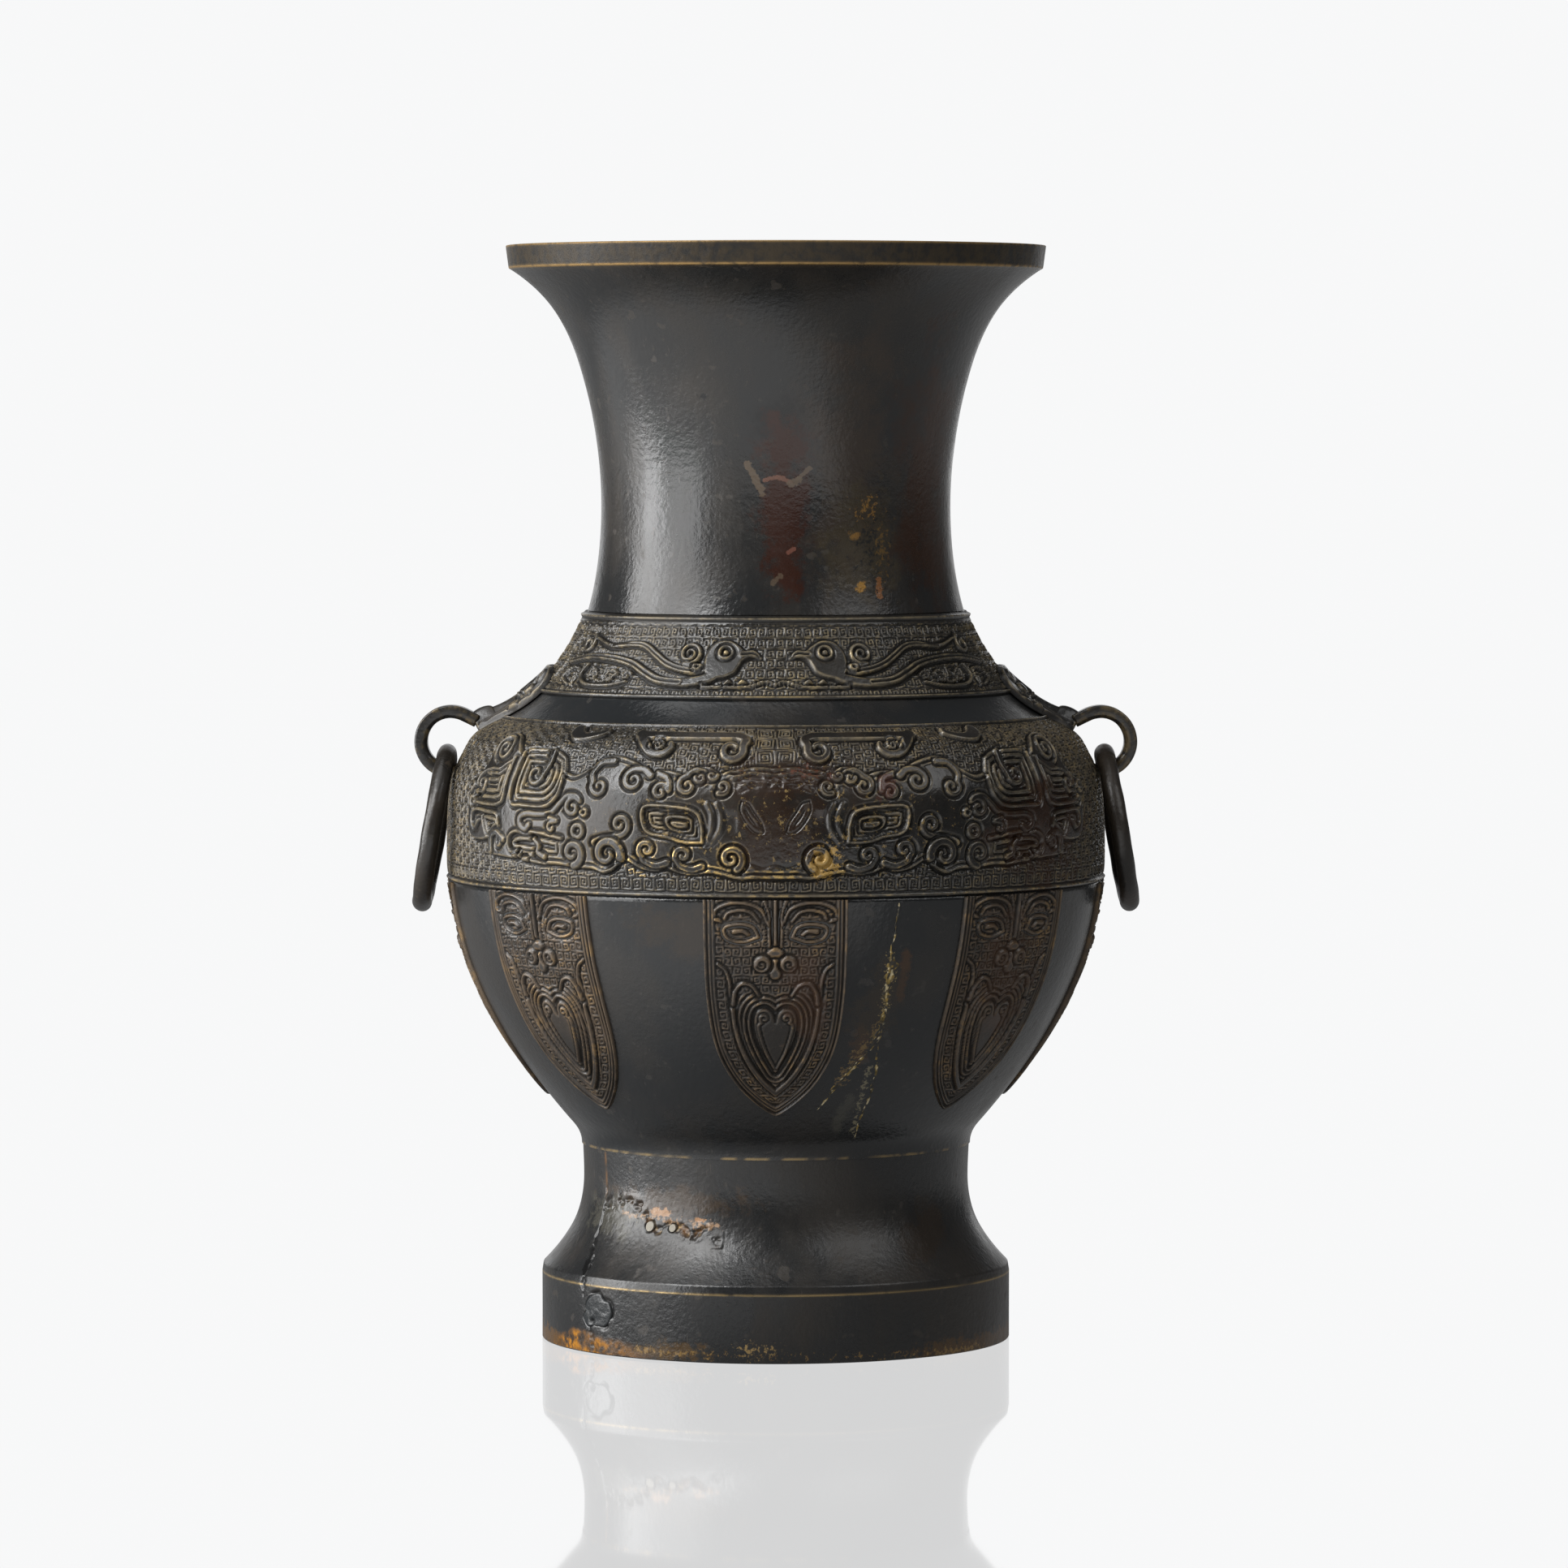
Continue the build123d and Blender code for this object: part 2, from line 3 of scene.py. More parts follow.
import bpy
import numpy as np
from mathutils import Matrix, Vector


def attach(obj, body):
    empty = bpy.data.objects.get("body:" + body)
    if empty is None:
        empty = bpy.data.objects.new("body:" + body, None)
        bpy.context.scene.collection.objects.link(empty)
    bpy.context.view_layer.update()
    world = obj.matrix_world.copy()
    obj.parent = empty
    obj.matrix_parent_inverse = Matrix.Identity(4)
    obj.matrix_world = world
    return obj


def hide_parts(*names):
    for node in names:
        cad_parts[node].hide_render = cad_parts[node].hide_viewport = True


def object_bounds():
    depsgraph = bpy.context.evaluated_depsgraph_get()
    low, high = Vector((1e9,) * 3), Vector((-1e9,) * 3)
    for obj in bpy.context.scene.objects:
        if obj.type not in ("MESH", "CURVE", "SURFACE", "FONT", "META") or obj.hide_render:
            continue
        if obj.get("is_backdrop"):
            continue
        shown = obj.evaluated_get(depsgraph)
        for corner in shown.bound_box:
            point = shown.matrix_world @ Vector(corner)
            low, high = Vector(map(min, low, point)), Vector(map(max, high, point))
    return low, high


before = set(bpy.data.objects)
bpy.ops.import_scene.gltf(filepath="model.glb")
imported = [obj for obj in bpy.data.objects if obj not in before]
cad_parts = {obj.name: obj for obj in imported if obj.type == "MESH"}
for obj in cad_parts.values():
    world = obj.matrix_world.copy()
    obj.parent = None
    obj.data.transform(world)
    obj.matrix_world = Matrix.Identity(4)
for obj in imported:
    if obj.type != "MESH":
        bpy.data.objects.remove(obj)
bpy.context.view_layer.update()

# Studio: a pale glossy table, a white surround and soft lights, none of it part of the object.
# The table and the surround are white to the camera by their own colour, and the table keeps a
# faint mirror of what stands on it.
table_size = 14.0
table_drop = 0.0004
table_white = (0.935, 0.938, 0.942)
table_mirror = 0.3
room_dim = 0.08
bright_side = (-0.68, -0.73, 0.0)
lamp_aim = (0, 0, 0.24)


def empty_tree(owner):
    """The cleared shader tree of a material or a surround."""
    owner.use_nodes = True
    owner.node_tree.nodes.clear()
    return owner.node_tree


def shader_node(tree, kind, **settings):
    """A new shader node; settings name its sockets, with underscores for spaces."""
    node = tree.nodes.new("ShaderNode" + kind)
    for label, value in settings.items():
        node.inputs[label.replace("_", " ")].default_value = value
    return node


mesh = bpy.data.meshes.new("table")
reach = table_size / 2
corners = [(x * reach, y * reach, -table_drop) for x, y in ((-1, -1), (1, -1), (1, 1), (-1, 1))]
mesh.from_pydata(corners, [], [(0, 1, 2, 3)])
table = bpy.data.objects.new("table", mesh)
bpy.context.scene.collection.objects.link(table)
table_finish = bpy.data.materials.new("table")
tree = empty_tree(table_finish)
out = shader_node(tree, "OutputMaterial")
path = shader_node(tree, "LightPath")
white = shader_node(tree, "Emission", Color=(*table_white, 1), Strength=1.0)
mirror_face = shader_node(tree, "BsdfGlossy", Color=(1, 1, 1, 1), Roughness=0.03)
seen = shader_node(tree, "MixShader", Fac=table_mirror)
# To all but camera rays the table glows with a painted shadow of the vessel: dim near it and on the side away
# from bright_side, full beyond about 0.38 m towards bright_side.
bounce = shader_node(tree, "Emission", Color=(1, 1, 1, 1))
place = shader_node(tree, "TexCoord")
shaded = shader_node(tree, "VectorMath")
shaded.operation = "DOT_PRODUCT"
shaded.inputs[1].default_value = bright_side
table_painted_shadow = shader_node(tree, "MapRange", From_Min=0.1, From_Max=0.38, To_Min=0.27, To_Max=0.95)
table_painted_shadow.interpolation_type = "SMOOTHSTEP"
tree.links.new(place.outputs["Object"], shaded.inputs[0])
tree.links.new(shaded.outputs["Value"], table_painted_shadow.inputs["Value"])
tree.links.new(table_painted_shadow.outputs["Result"], bounce.inputs["Strength"])
pick = shader_node(tree, "MixShader")
tree.links.new(white.outputs[0], seen.inputs[1])
tree.links.new(mirror_face.outputs[0], seen.inputs[2])
tree.links.new(path.outputs["Is Camera Ray"], pick.inputs["Fac"])
tree.links.new(bounce.outputs[0], pick.inputs[1])
tree.links.new(seen.outputs[0], pick.inputs[2])
tree.links.new(pick.outputs[0], out.inputs["Surface"])
table.data.materials.append(table_finish)
table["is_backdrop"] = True

world = bpy.data.worlds.new("surround")
bpy.context.scene.world = world
tree = empty_tree(world)
out = shader_node(tree, "OutputWorld")
path = shader_node(tree, "LightPath")
seen = shader_node(tree, "Background", Color=(*table_white, 1), Strength=1.0)
lit = shader_node(tree, "Background", Color=(*table_white, 1))
way = shader_node(tree, "TexCoord")
parts = shader_node(tree, "SeparateXYZ")
behind = shader_node(tree, "MapRange", From_Min=0.86, From_Max=0.95, To_Min=room_dim, To_Max=1.0)
behind.interpolation_type = "SMOOTHSTEP"
tree.links.new(way.outputs["Generated"], parts.inputs["Vector"])
tree.links.new(parts.outputs["Y"], behind.inputs["Value"])
tree.links.new(behind.outputs["Result"], lit.inputs["Strength"])
pick = shader_node(tree, "MixShader")
tree.links.new(path.outputs["Is Camera Ray"], pick.inputs["Fac"])
tree.links.new(lit.outputs[0], pick.inputs[1])
tree.links.new(seen.outputs[0], pick.inputs[2])
tree.links.new(pick.outputs[0], out.inputs["Surface"])

softboxes = {
    "key_left": ((-2.15, -0.02, 0.45), (0.95, 1.9), 41.0),
    "key_front": ((-1.85, -1.05, 0.45), (1.0, 1.9), 22.0),
    "fill_right": ((1.7, -1.2, 2.0), (1.8, 1.4), 14.0),
    "overhead": ((-0.8, -0.4, 2.7), (2.2, 2.2), 20.0),
    "front_high": ((-1.9, -1.4, 2.3), (1.6, 1.4), 60.0),
}
for name, (place, size, power) in softboxes.items():
    light = bpy.data.lights.new(name, "AREA")
    light.shape = "RECTANGLE"
    light.size, light.size_y = size
    light.energy = power
    lamp = bpy.data.objects.new(name, light)
    lamp.location = place
    lamp.rotation_euler = (Vector(lamp_aim) - Vector(place)).to_track_quat("-Z", "Y").to_euler()
    lamp.visible_camera = False
    bpy.context.scene.collection.objects.link(lamp)

# Camera: it stands 3.3 m in front at the height of the neck, a little to the right of the axis,
# and looks slightly down through a long lens.
camera_place = (0.0036, -3.3, 0.411)
camera_tilt = 2.904
lens = bpy.data.cameras.new("camera")
lens.lens = 172.3
lens.sensor_width = 36.0
lens.clip_end = 50
camera = bpy.data.objects.new("camera", lens)
camera.location = camera_place
camera.rotation_euler = (math.radians(90 - camera_tilt), 0, 0)
bpy.context.scene.collection.objects.link(camera)
bpy.context.scene.camera = camera
bpy.context.scene.view_settings.view_transform = "Standard"

# Neck: the flared neck and mouth, one bronze casting turned smooth and standing on the collar.
# Its lip is worn to yellow metal along both edges; brown stains show on the front and right.
collar_z = 0.3203
mouth_edge = (0.1185, 0.48)
lip_low_edge = (0.1172, 0.47)
lip_inner_edge = (0.1105, 0.48)
neck_line = [
    (0.0826, collar_z, -16), (0.0767, 0.3663, 0), (0.0862, 0.428, 17), (0.0967, 0.451, 34),
    (0.116, 0.4694, 57),
]
neck_bore = [
    (0.1105, 0.471, 52), (0.0934, 0.4532, 34), (0.0824, 0.4292, 17), (0.0727, 0.3663, 0),
    (0.0758, collar_z, -12),
]
neck_spigot = [(0.0758, 0.31), (0.0788, 0.31), (0.0788, collar_z), (0.0826, collar_z)]
neck_columns = 288
neck_uneven = 0.00018


def smooth_line(stations, step):
    """Points of a turned line about step apart: stations are radius, height and lean from the vertical."""
    points = []
    for (r0, z0, a0), (r1, z1, a1) in zip(stations, stations[1:]):
        reach = math.hypot(r1 - r0, z1 - z0)
        way = 1 if z1 >= z0 else -1
        d0 = np.array((math.sin(math.radians(a0)), math.cos(math.radians(a0)))) * way
        d1 = np.array((math.sin(math.radians(a1)), math.cos(math.radians(a1)))) * way
        p0, p3 = np.array((r0, z0)), np.array((r1, z1))
        p1, p2 = p0 + d0 * reach / 3, p3 - d1 * reach / 3
        t = np.linspace(0, 1, max(2, round(reach / step)), endpoint=False)[:, None]
        u = 1 - t
        points.append(u**3 * p0 + 3 * u * u * t * p1 + 3 * u * t * t * p2 + t**3 * p3)
    points.append(np.array([stations[-1][:2]]))
    return np.vstack(points)


def cornered_line(points, step, soft):
    """Straight runs about step apart, with a close pair of points at each corner, which then shades as a
    small round."""
    line = []
    for (r0, z0), (r1, z1) in zip(points, points[1:]):
        reach = math.hypot(r1 - r0, z1 - z0)
        near = min(soft / reach, 0.3)
        stops = np.r_[near, np.linspace(near, 1 - near, max(2, round(reach / step)))[1:-1], 1 - near]
        line.append(np.array((r0, z0)) + stops[:, None] * np.array((r1 - r0, z1 - z0)))
    return np.vstack(line)


def sheet(name, points, wrap, attributes=()):
    """Mesh object of a grid of points, rows by columns, closed round the columns where wrap is true. Faces
    look outward when rows run up and columns run to the right."""
    rows, cols = points.shape[:2]
    i = np.arange(rows - 1)[:, None]
    j = np.arange(cols if wrap else cols - 1)[None, :]
    k = (j + 1) % cols
    faces = [i * cols + j, i * cols + k, (i + 1) * cols + k, (i + 1) * cols + j]
    faces = np.stack(faces, -1).reshape(-1, 4)
    made = bpy.data.meshes.new(name)
    made.vertices.add(rows * cols)
    made.vertices.foreach_set("co", points.astype(np.float32).ravel())
    made.loops.add(faces.size)
    made.loops.foreach_set("vertex_index", faces.astype(np.int32).ravel())
    made.polygons.add(len(faces))
    made.polygons.foreach_set("loop_start", np.arange(0, faces.size, 4, dtype=np.int32))
    made.update(calc_edges=True)
    made.shade_smooth()
    for label, values in attributes:
        layer = made.attributes.new(label, "FLOAT", "POINT")
        layer.data.foreach_set("value", np.ascontiguousarray(values, dtype=np.float32).ravel())
    made.validate()
    thing = bpy.data.objects.new(name, made)
    bpy.context.scene.collection.objects.link(thing)
    return thing


def ripple(angle, height, size):
    """Slow unevenness of a hand-finished casting, about size deep."""
    a = np.sin(3 * angle + 9 * height + 0.6) + 0.7 * np.sin(5 * angle - 31 * height + 2.1)
    b = 0.5 * np.sin(11 * angle + 47 * height + 4.0) + 0.35 * np.sin(17 * angle - 83 * height + 1.2)
    return size * 0.4 * (a + b + 0.3 * np.sin(140 * height + 2 * angle))


def round_axis(r, angle, z):
    """Points at radii, angles and heights. Angles run from the front to the viewer's right."""
    return np.stack([r * np.sin(angle), -r * np.cos(angle), np.broadcast_to(z, r.shape)], -1)


def turned(line, angle, dents):
    """Grid of a line turned about the axis; dents move points outward."""
    return round_axis(line[:, 0:1] + dents, angle, line[:, 1:2])


def stroke(start, end, wide, colour, strength, grain=260.0, soft=0.12, deep=0.03):
    """A stain along the line between two places."""
    return (start, end), (wide, deep, wide), colour, strength, grain, soft


def patina(
    name, dark, warm, worn, ground, rough=0.23, patchy=(0.86, 1.12), crest_dust_and_highlight=(0.15, 0.125, 0.085),
    stains=(), flecks=(), stain_cut=2.4, fleck_cut=1.75,
):
    """Old bronze: two dark tones in clouds and fine streaks, freckles and scratches, the ground colour where
    pit is set, pale crests where rise is set and yellow metal where wear is set. The ground colour is stains
    and crusts; in the hollows of a cast relief it is dirt and painted shade, and on the band plug's rim and
    hole painted shade, with the specular dimmed there as painted shade too. The colour of the crests is dust
    and painted highlight. Then stains, each a place or a stroke between two, a size, a colour, a strength, a
    grain and a softness of edge; flecks are the same, broken up."""
    made = bpy.data.materials.new(name)
    tree = empty_tree(made)
    link = tree.links.new
    where = shader_node(tree, "TexCoord").outputs["Object"]

    def noise(scale, detail, coords=where, roughness=0.55):
        node = shader_node(tree, "TexNoise", Scale=scale, Detail=detail, Roughness=roughness)
        link(coords, node.inputs["Vector"])
        return node.outputs["Fac"]

    def spread(value, low, high, to_low=0.0, to_high=1.0):
        node = shader_node(tree, "MapRange", From_Min=low, From_Max=high, To_Min=to_low, To_Max=to_high)
        node.interpolation_type = "SMOOTHSTEP"
        link(value, node.inputs["Value"])
        return node.outputs["Result"]

    def sums(kind, a, b):
        node = shader_node(tree, "Math")
        node.operation = kind
        for socket, value in zip(node.inputs, (a, b)):
            if isinstance(value, (int, float)):
                socket.default_value = value
            else:
                link(value, socket)
        return node.outputs[0]

    def vectors(kind, a, b=None):
        node = shader_node(tree, "VectorMath")
        node.operation = kind
        link(a, node.inputs[0])
        if isinstance(b, tuple):
            node.inputs[1].default_value = b
        elif b is not None:
            link(b, node.inputs[1])
        return node.outputs

    def mixed(factor, a, b):
        node = shader_node(tree, "Mix")
        node.data_type = "RGBA"
        for socket, value in ((node.inputs[6], a), (node.inputs[7], b)):
            if isinstance(value, tuple):
                socket.default_value = (*value, 1)
            else:
                link(value, socket)
        link(factor, node.inputs[0])
        return node.outputs[2]

    def attribute(label):
        node = shader_node(tree, "Attribute")
        node.attribute_name = label
        return node.outputs["Fac"]

    stretch = shader_node(tree, "Mapping", Scale=(1.0, 1.0, 0.12))
    link(where, stretch.inputs["Vector"])
    clouds = noise(16.0, 5.0)
    streaks = noise(70.0, 4.0, stretch.outputs["Vector"])
    grain = noise(520.0, 3.0)
    specks = noise(260.0, 4.0)
    freckles = spread(noise(120.0, 2.0), 0.66, 0.72)
    scratches = spread(noise(620.0, 2.0, stretch.outputs["Vector"]), 0.7, 0.78)
    tone = sums("ADD", sums("MULTIPLY", clouds, 0.65), sums("MULTIPLY", streaks, 0.35))
    colour = mixed(spread(tone, 0.42, 0.66), dark, warm)
    colour = mixed(spread(specks, 0.63, 0.75, 0.0, 0.45), colour, tuple(2.2 * c for c in warm))
    colour = mixed(sums("MULTIPLY", freckles, 0.5), colour, tuple(2.0 * c for c in warm))
    colour = mixed(sums("MULTIPLY", scratches, 0.3), colour, tuple(4.0 * c for c in warm))
    # Ground colour on the marked stains and crusts, and in the hollows of a cast relief, where it is dirt and
    # painted shade.
    stain_and_shade = attribute("stain_and_shade")
    colour = mixed(sums("MULTIPLY", stain_and_shade, spread(specks, 0.34, 0.62, 0.15, 1.0)), colour, ground)
    # Pale colour on what stands out in a cast relief: partly dust, partly painted highlight.
    dusty = spread(sums("ADD", specks, clouds), 0.72, 1.12, 0.25, 1.0)
    colour = mixed(sums("MULTIPLY", attribute("rise"), dusty), colour, crest_dust_and_highlight)
    wear = attribute("wear")
    rub = sums("MULTIPLY", wear, spread(sums("ADD", specks, sums("MULTIPLY", clouds, 0.9)), *patchy))
    colour = mixed(rub, colour, worn)
    marks = [(a, stain_cut) for a in stains] + [(a, fleck_cut) for a in flecks]
    for (place, size, stain, strength, ragged, soft), cut in marks:
        ends = place if isinstance(place[0], tuple) else (place, place)
        start, end = (np.array(a) / size for a in ends)
        off = vectors("SUBTRACT", vectors("DIVIDE", where, size)[0], tuple(start))[0]
        if any(end != start):
            reach = end - start
            part = vectors("DOT_PRODUCT", off, tuple(reach / (reach @ reach)))["Value"]
            part = sums("MINIMUM", sums("MAXIMUM", part, 0.0), 1.0)
            off = vectors("SUBTRACT", off, vectors("MULTIPLY", part, tuple(reach))[0])[0]
        far = vectors("LENGTH", off)["Value"]
        edge = sums("ADD", far, sums("MULTIPLY", noise(ragged, 6.0, roughness=0.72), 3.4))
        colour = mixed(spread(edge, cut - soft, cut + soft, strength, 0.0), colour, stain)
    gloss = spread(tone, 0.36, 0.64, rough - 0.11, rough + 0.07)
    gloss = sums("ADD", gloss, sums("MULTIPLY", specks, 0.1))
    gloss = sums("ADD", gloss, sums("MULTIPLY", freckles, 0.12))
    gloss = sums("ADD", gloss, sums("MULTIPLY", stain_and_shade, 0.22))
    bump = shader_node(tree, "Bump", Strength=0.45, Distance=0.0005)
    tooth = sums("ADD", sums("MULTIPLY", grain, 0.5), sums("MULTIPLY", specks, 0.6))
    link(sums("ADD", tooth, sums("MULTIPLY", noise(95.0, 3.0), 0.35)), bump.inputs["Height"])
    shader = shader_node(tree, "BsdfPrincipled")
    link(colour, shader.inputs["Base Color"])
    link(gloss, shader.inputs["Roughness"])
    link(sums("MULTIPLY", rub, 0.85), shader.inputs["Metallic"])
    link(bump.outputs["Normal"], shader.inputs["Normal"])
    # Specular dimmed in the same marked places: in relief hollows and on the band plug a painted shade.
    link(spread(stain_and_shade, 0.0, 1.0, 0.62, 0.22), shader.inputs["Specular IOR Level"])
    end = shader_node(tree, "OutputMaterial")
    link(shader.outputs["BSDF"], end.inputs["Surface"])
    return made


outer = smooth_line(neck_line, 0.0022)
lip = [tuple(outer[-1]), lip_low_edge, mouth_edge, lip_inner_edge, neck_bore[0][:2]]
lip = cornered_line(lip, 0.0006, 0.0003)
bore = smooth_line(neck_bore, 0.0045)
line = np.vstack([outer[:-1], lip, bore[1:], neck_spigot])
edge_wear = np.zeros(len(line))
for spot, reach, much in (
    (lip_low_edge, 0.0006, 0.95), (mouth_edge, 0.0006, 0.7), (lip_inner_edge, 0.001, 0.5),
):
    edge_wear = np.maximum(edge_wear, much * np.exp(-(np.hypot(*(line - spot).T) / reach) ** 2))
angle = np.linspace(-math.pi, math.pi, neck_columns, endpoint=False)[None, :]
dents = ripple(angle, line[:, 1:], neck_uneven)
lip_brown = 0.85 * ((line[:, :1] > 0.1166) & (line[:, 1:] > 0.4702)) + 0 * angle
wear = edge_wear[:, None] + 0 * angle
neck = sheet("neck", turned(line, angle, dents), True, [("wear", wear), ("stain_and_shade", lip_brown)])
scar, pink = (0.105, 0.076, 0.05), (0.15, 0.072, 0.048)
ochre, orange = (0.22, 0.115, 0.026), (0.24, 0.095, 0.026)
neck_patina = patina(
    "neck_patina", (0.015, 0.0155, 0.0158), (0.024, 0.02, 0.016), (0.46, 0.29, 0.11),
    (0.042, 0.031, 0.018), patchy=(0.6, 1.0), stains=[
        ((0.0316, -0.072, 0.385), (0.02, 0.03, 0.075), (0.038, 0.025, 0.016), 0.75, 60.0, 0.55),
        ((0.0366, -0.07, 0.35), (0.02, 0.03, 0.03), (0.044, 0.033, 0.017), 0.75, 140.0, 0.45),
        ((0.0656, -0.046, 0.38), (0.017, 0.03, 0.065), (0.03, 0.0105, 0.003), 0.95, 50.0, 0.5),
        ((-0.0004, -0.078, 0.404), (0.014, 0.03, 0.012), (0.007, 0.007, 0.007), 0.85, 120.0, 0.35),
        (
            ((0.0036, -0.078, 0.396), (0.0041, -0.077, 0.34)), (0.0115, 0.03, 0.014),
            (0.03, 0.008, 0.0032), 0.92, 110.0, 0.35,
        ),
        stroke((-0.0116, -0.0755, 0.3845), (-0.0056, -0.0765, 0.3723), 0.0022, scar, 0.85, 200.0),
        stroke((-0.0049, -0.077, 0.3781), (0.0006, -0.077, 0.3795), 0.0013, pink, 0.85, 200.0),
        stroke((0.0006, -0.077, 0.3795), (0.0066, -0.077, 0.3773), 0.0013, pink, 0.85, 200.0),
        stroke((0.0066, -0.077, 0.3765), (0.0096, -0.077, 0.3781), 0.0025, scar, 0.8, 200.0),
        stroke((0.0091, -0.077, 0.3785), (0.0146, -0.0765, 0.3829), 0.0013, scar, 0.8, 200.0),
        stroke((0.0054, -0.077, 0.347), (0.008, -0.077, 0.3487), 0.0014, (0.16, 0.062, 0.042), 0.8),
        stroke((-0.0012, -0.077, 0.334), (0.0021, -0.077, 0.337), 0.0018, scar, 0.6, soft=0.15),
        ((0.0341, -0.071, 0.3545), (0.003, 0.03, 0.0026), ochre, 0.9, 300.0, 0.14),
        ((0.0372, -0.0695, 0.332), (0.0032, 0.03, 0.0028), (0.34, 0.17, 0.02), 0.9, 300.0, 0.14),
        stroke((0.0446, -0.066, 0.335), (0.0448, -0.066, 0.328), 0.0018, orange, 0.75, 300.0, 0.16),
        ((-0.0318, -0.073, 0.414), (0.0024, 0.03, 0.0018), (0.002, 0.002, 0.002), 1.0, 400.0, 0.1),
    ], flecks=[
        ((0.0416, -0.067, 0.35), (0.024, 0.03, 0.045), (0.006, 0.0065, 0.007), 0.9, 300.0, 0.15),
        ((0.0386, -0.069, 0.366), (0.012, 0.03, 0.015), ochre, 0.9, 430.0, 0.14),
        ((0.0466, -0.065, 0.35), (0.011, 0.03, 0.036), (0.15, 0.085, 0.02), 0.7, 520.0, 0.16),
        ((-0.0494, -0.056, 0.377), (0.016, 0.03, 0.026), (0.012, 0.01, 0.008), 0.8, 300.0, 0.12),
    ],
)
neck.data.materials.append(neck_patina)
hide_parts("neck")
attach(neck, "vessel")

# Bird band: two pairs of facing birds cast in low relief on squared spirals, under the neck.
# It is part of the bronze belly casting, shown as two half rings that meet under the handles.
ground = [
    (0.0838, 0.0885, 42), (0.1096, 0.12, 37), (0.1351, 0.166, 20.5), (0.1433, 0.2025, 7),
    (0.144, 0.213, 0), (0.1422, 0.245, -10), (0.1378, 0.256, -28), (0.1323, 0.265, -46),
    (0.1178, 0.274, -57), (0.105, 0.2845, -44), (0.0942, 0.2995, -36), (0.0835, 0.32, -20),
]
band_stand = 0.0009
band_bold = 1.8
fret_floor, fret_tall = -0.45, 0.42
bird_cell = 0.00043
bird_radius = 95.0
bird_columns = 340


def moved_out(stations, distance):
    """The same turned line moved square to itself."""
    line = []
    for r, z, lean in stations:
        a = math.radians(lean)
        line.append((r + distance * math.cos(a), z - distance * math.sin(a), lean))
    return line


def placed(at, run, *lines):
    """Points of lines at distances along their run."""
    return [np.stack([np.interp(at, run, a[:, k]) for k in (0, 1)], -1) for a in lines]


def evened(line, step):
    """Points of a turned line at even distances, and the way out from it at each."""
    run = np.r_[0, np.cumsum(np.hypot(*np.diff(line, axis=0).T))]
    at = np.linspace(0, run[-1], round(run[-1] / step) + 1)
    points = placed(at, run, line)[0]
    way = np.gradient(points, axis=0)
    way /= np.linalg.norm(way, axis=1, keepdims=True)
    return points, np.stack([way[:, 1], -way[:, 0]], -1), run[-1]


def drawn(points, step=0.5):
    """A smooth line through given points, about step apart."""
    p = np.array(points, dtype=float)
    p = np.vstack([2 * p[0] - p[1], p, 2 * p[-1] - p[-2]])
    line = []
    for a, b, c, d in zip(p, p[1:], p[2:], p[3:]):
        t = np.linspace(0, 1, max(2, int(math.dist(b, c) / step)), endpoint=False)[:, None]
        line.append(b + 0.5 * t * (c - a + t * (2 * a - 5 * b + 4 * c - d + t * (3 * (b - c) + d - a))))
    return np.vstack(line + [p[-2:-1]])


def scroll(u, v, radius, start, turns, core=0.22, tail=()):
    """A line that comes along its tail and winds into a spiral; angles run from outward to downward."""
    t = np.linspace(0, 1, max(8, int(abs(turns) * 22)))[:, None]
    angle = np.radians(start + 360 * turns * t)
    r = radius * (1 - (1 - core) * t)
    coil = np.hstack([u + r * np.cos(angle), v + r * np.sin(angle)])
    if not tail:
        return coil
    return np.vstack([drawn(list(tail) + [tuple(coil[0]), tuple(coil[2])])[:-2], coil[2:]])


def near(u, v, line, margin):
    """Which points lie in a line's box, with a margin round it."""
    (u0, v0), (u1, v1) = line.min(0) - margin, line.max(0) + margin
    return (u > u0) & (u < u1) & (v > v0) & (v < v1)


def distance(u, v, line, half=(0, 0)):
    """How far each point is from the edge of a strap along a line; half is its half-width at both ends."""
    best = np.full(u.shape, 1e9)
    for k, ((u0, v0), (u1, v1)) in enumerate(zip(line, line[1:])):
        du, dv = u1 - u0, v1 - v0
        t = np.clip(((u - u0) * du + (v - v0) * dv) / (du * du + dv * dv + 1e-12), 0, 1)
        wide = half[0] + (half[1] - half[0]) * (k + t) / (len(line) - 1)
        best = np.minimum(best, np.hypot(u - u0 - t * du, v - v0 - t * dv) - wide)
    return best


def strap(u, v, line, half):
    """How deep each point lies inside a strap along a line, negative outside it."""
    deep = np.full(u.shape, -9.0)
    m = near(u, v, line, max(half) + 3)
    deep[m] = -distance(u[m], v[m], line, half)
    return deep


def shape(u, v, outline):
    """How deep each point lies inside a closed outline, negative outside it."""
    ring = np.vstack([outline, outline[:1]])
    deep = np.full(u.shape, -9.0)
    m = near(u, v, ring, 3)
    uu, vv = u[m], v[m]
    odd = np.zeros(uu.shape, bool)
    for (u0, v0), (u1, v1) in zip(ring, ring[1:]):
        if v0 != v1:
            odd ^= ((v0 > vv) != (v1 > vv)) & (uu < (u1 - u0) * (vv - v0) / (v1 - v0) + u0)
    deep[m] = np.where(odd, 1, -1) * distance(uu, vv, ring)
    return deep


def step_up(x, low, high):
    """A smooth step from 0 at low to 1 at high."""
    t = np.clip((x - low) / (high - low), 0, 1)
    return t * t * (3 - 2 * t)


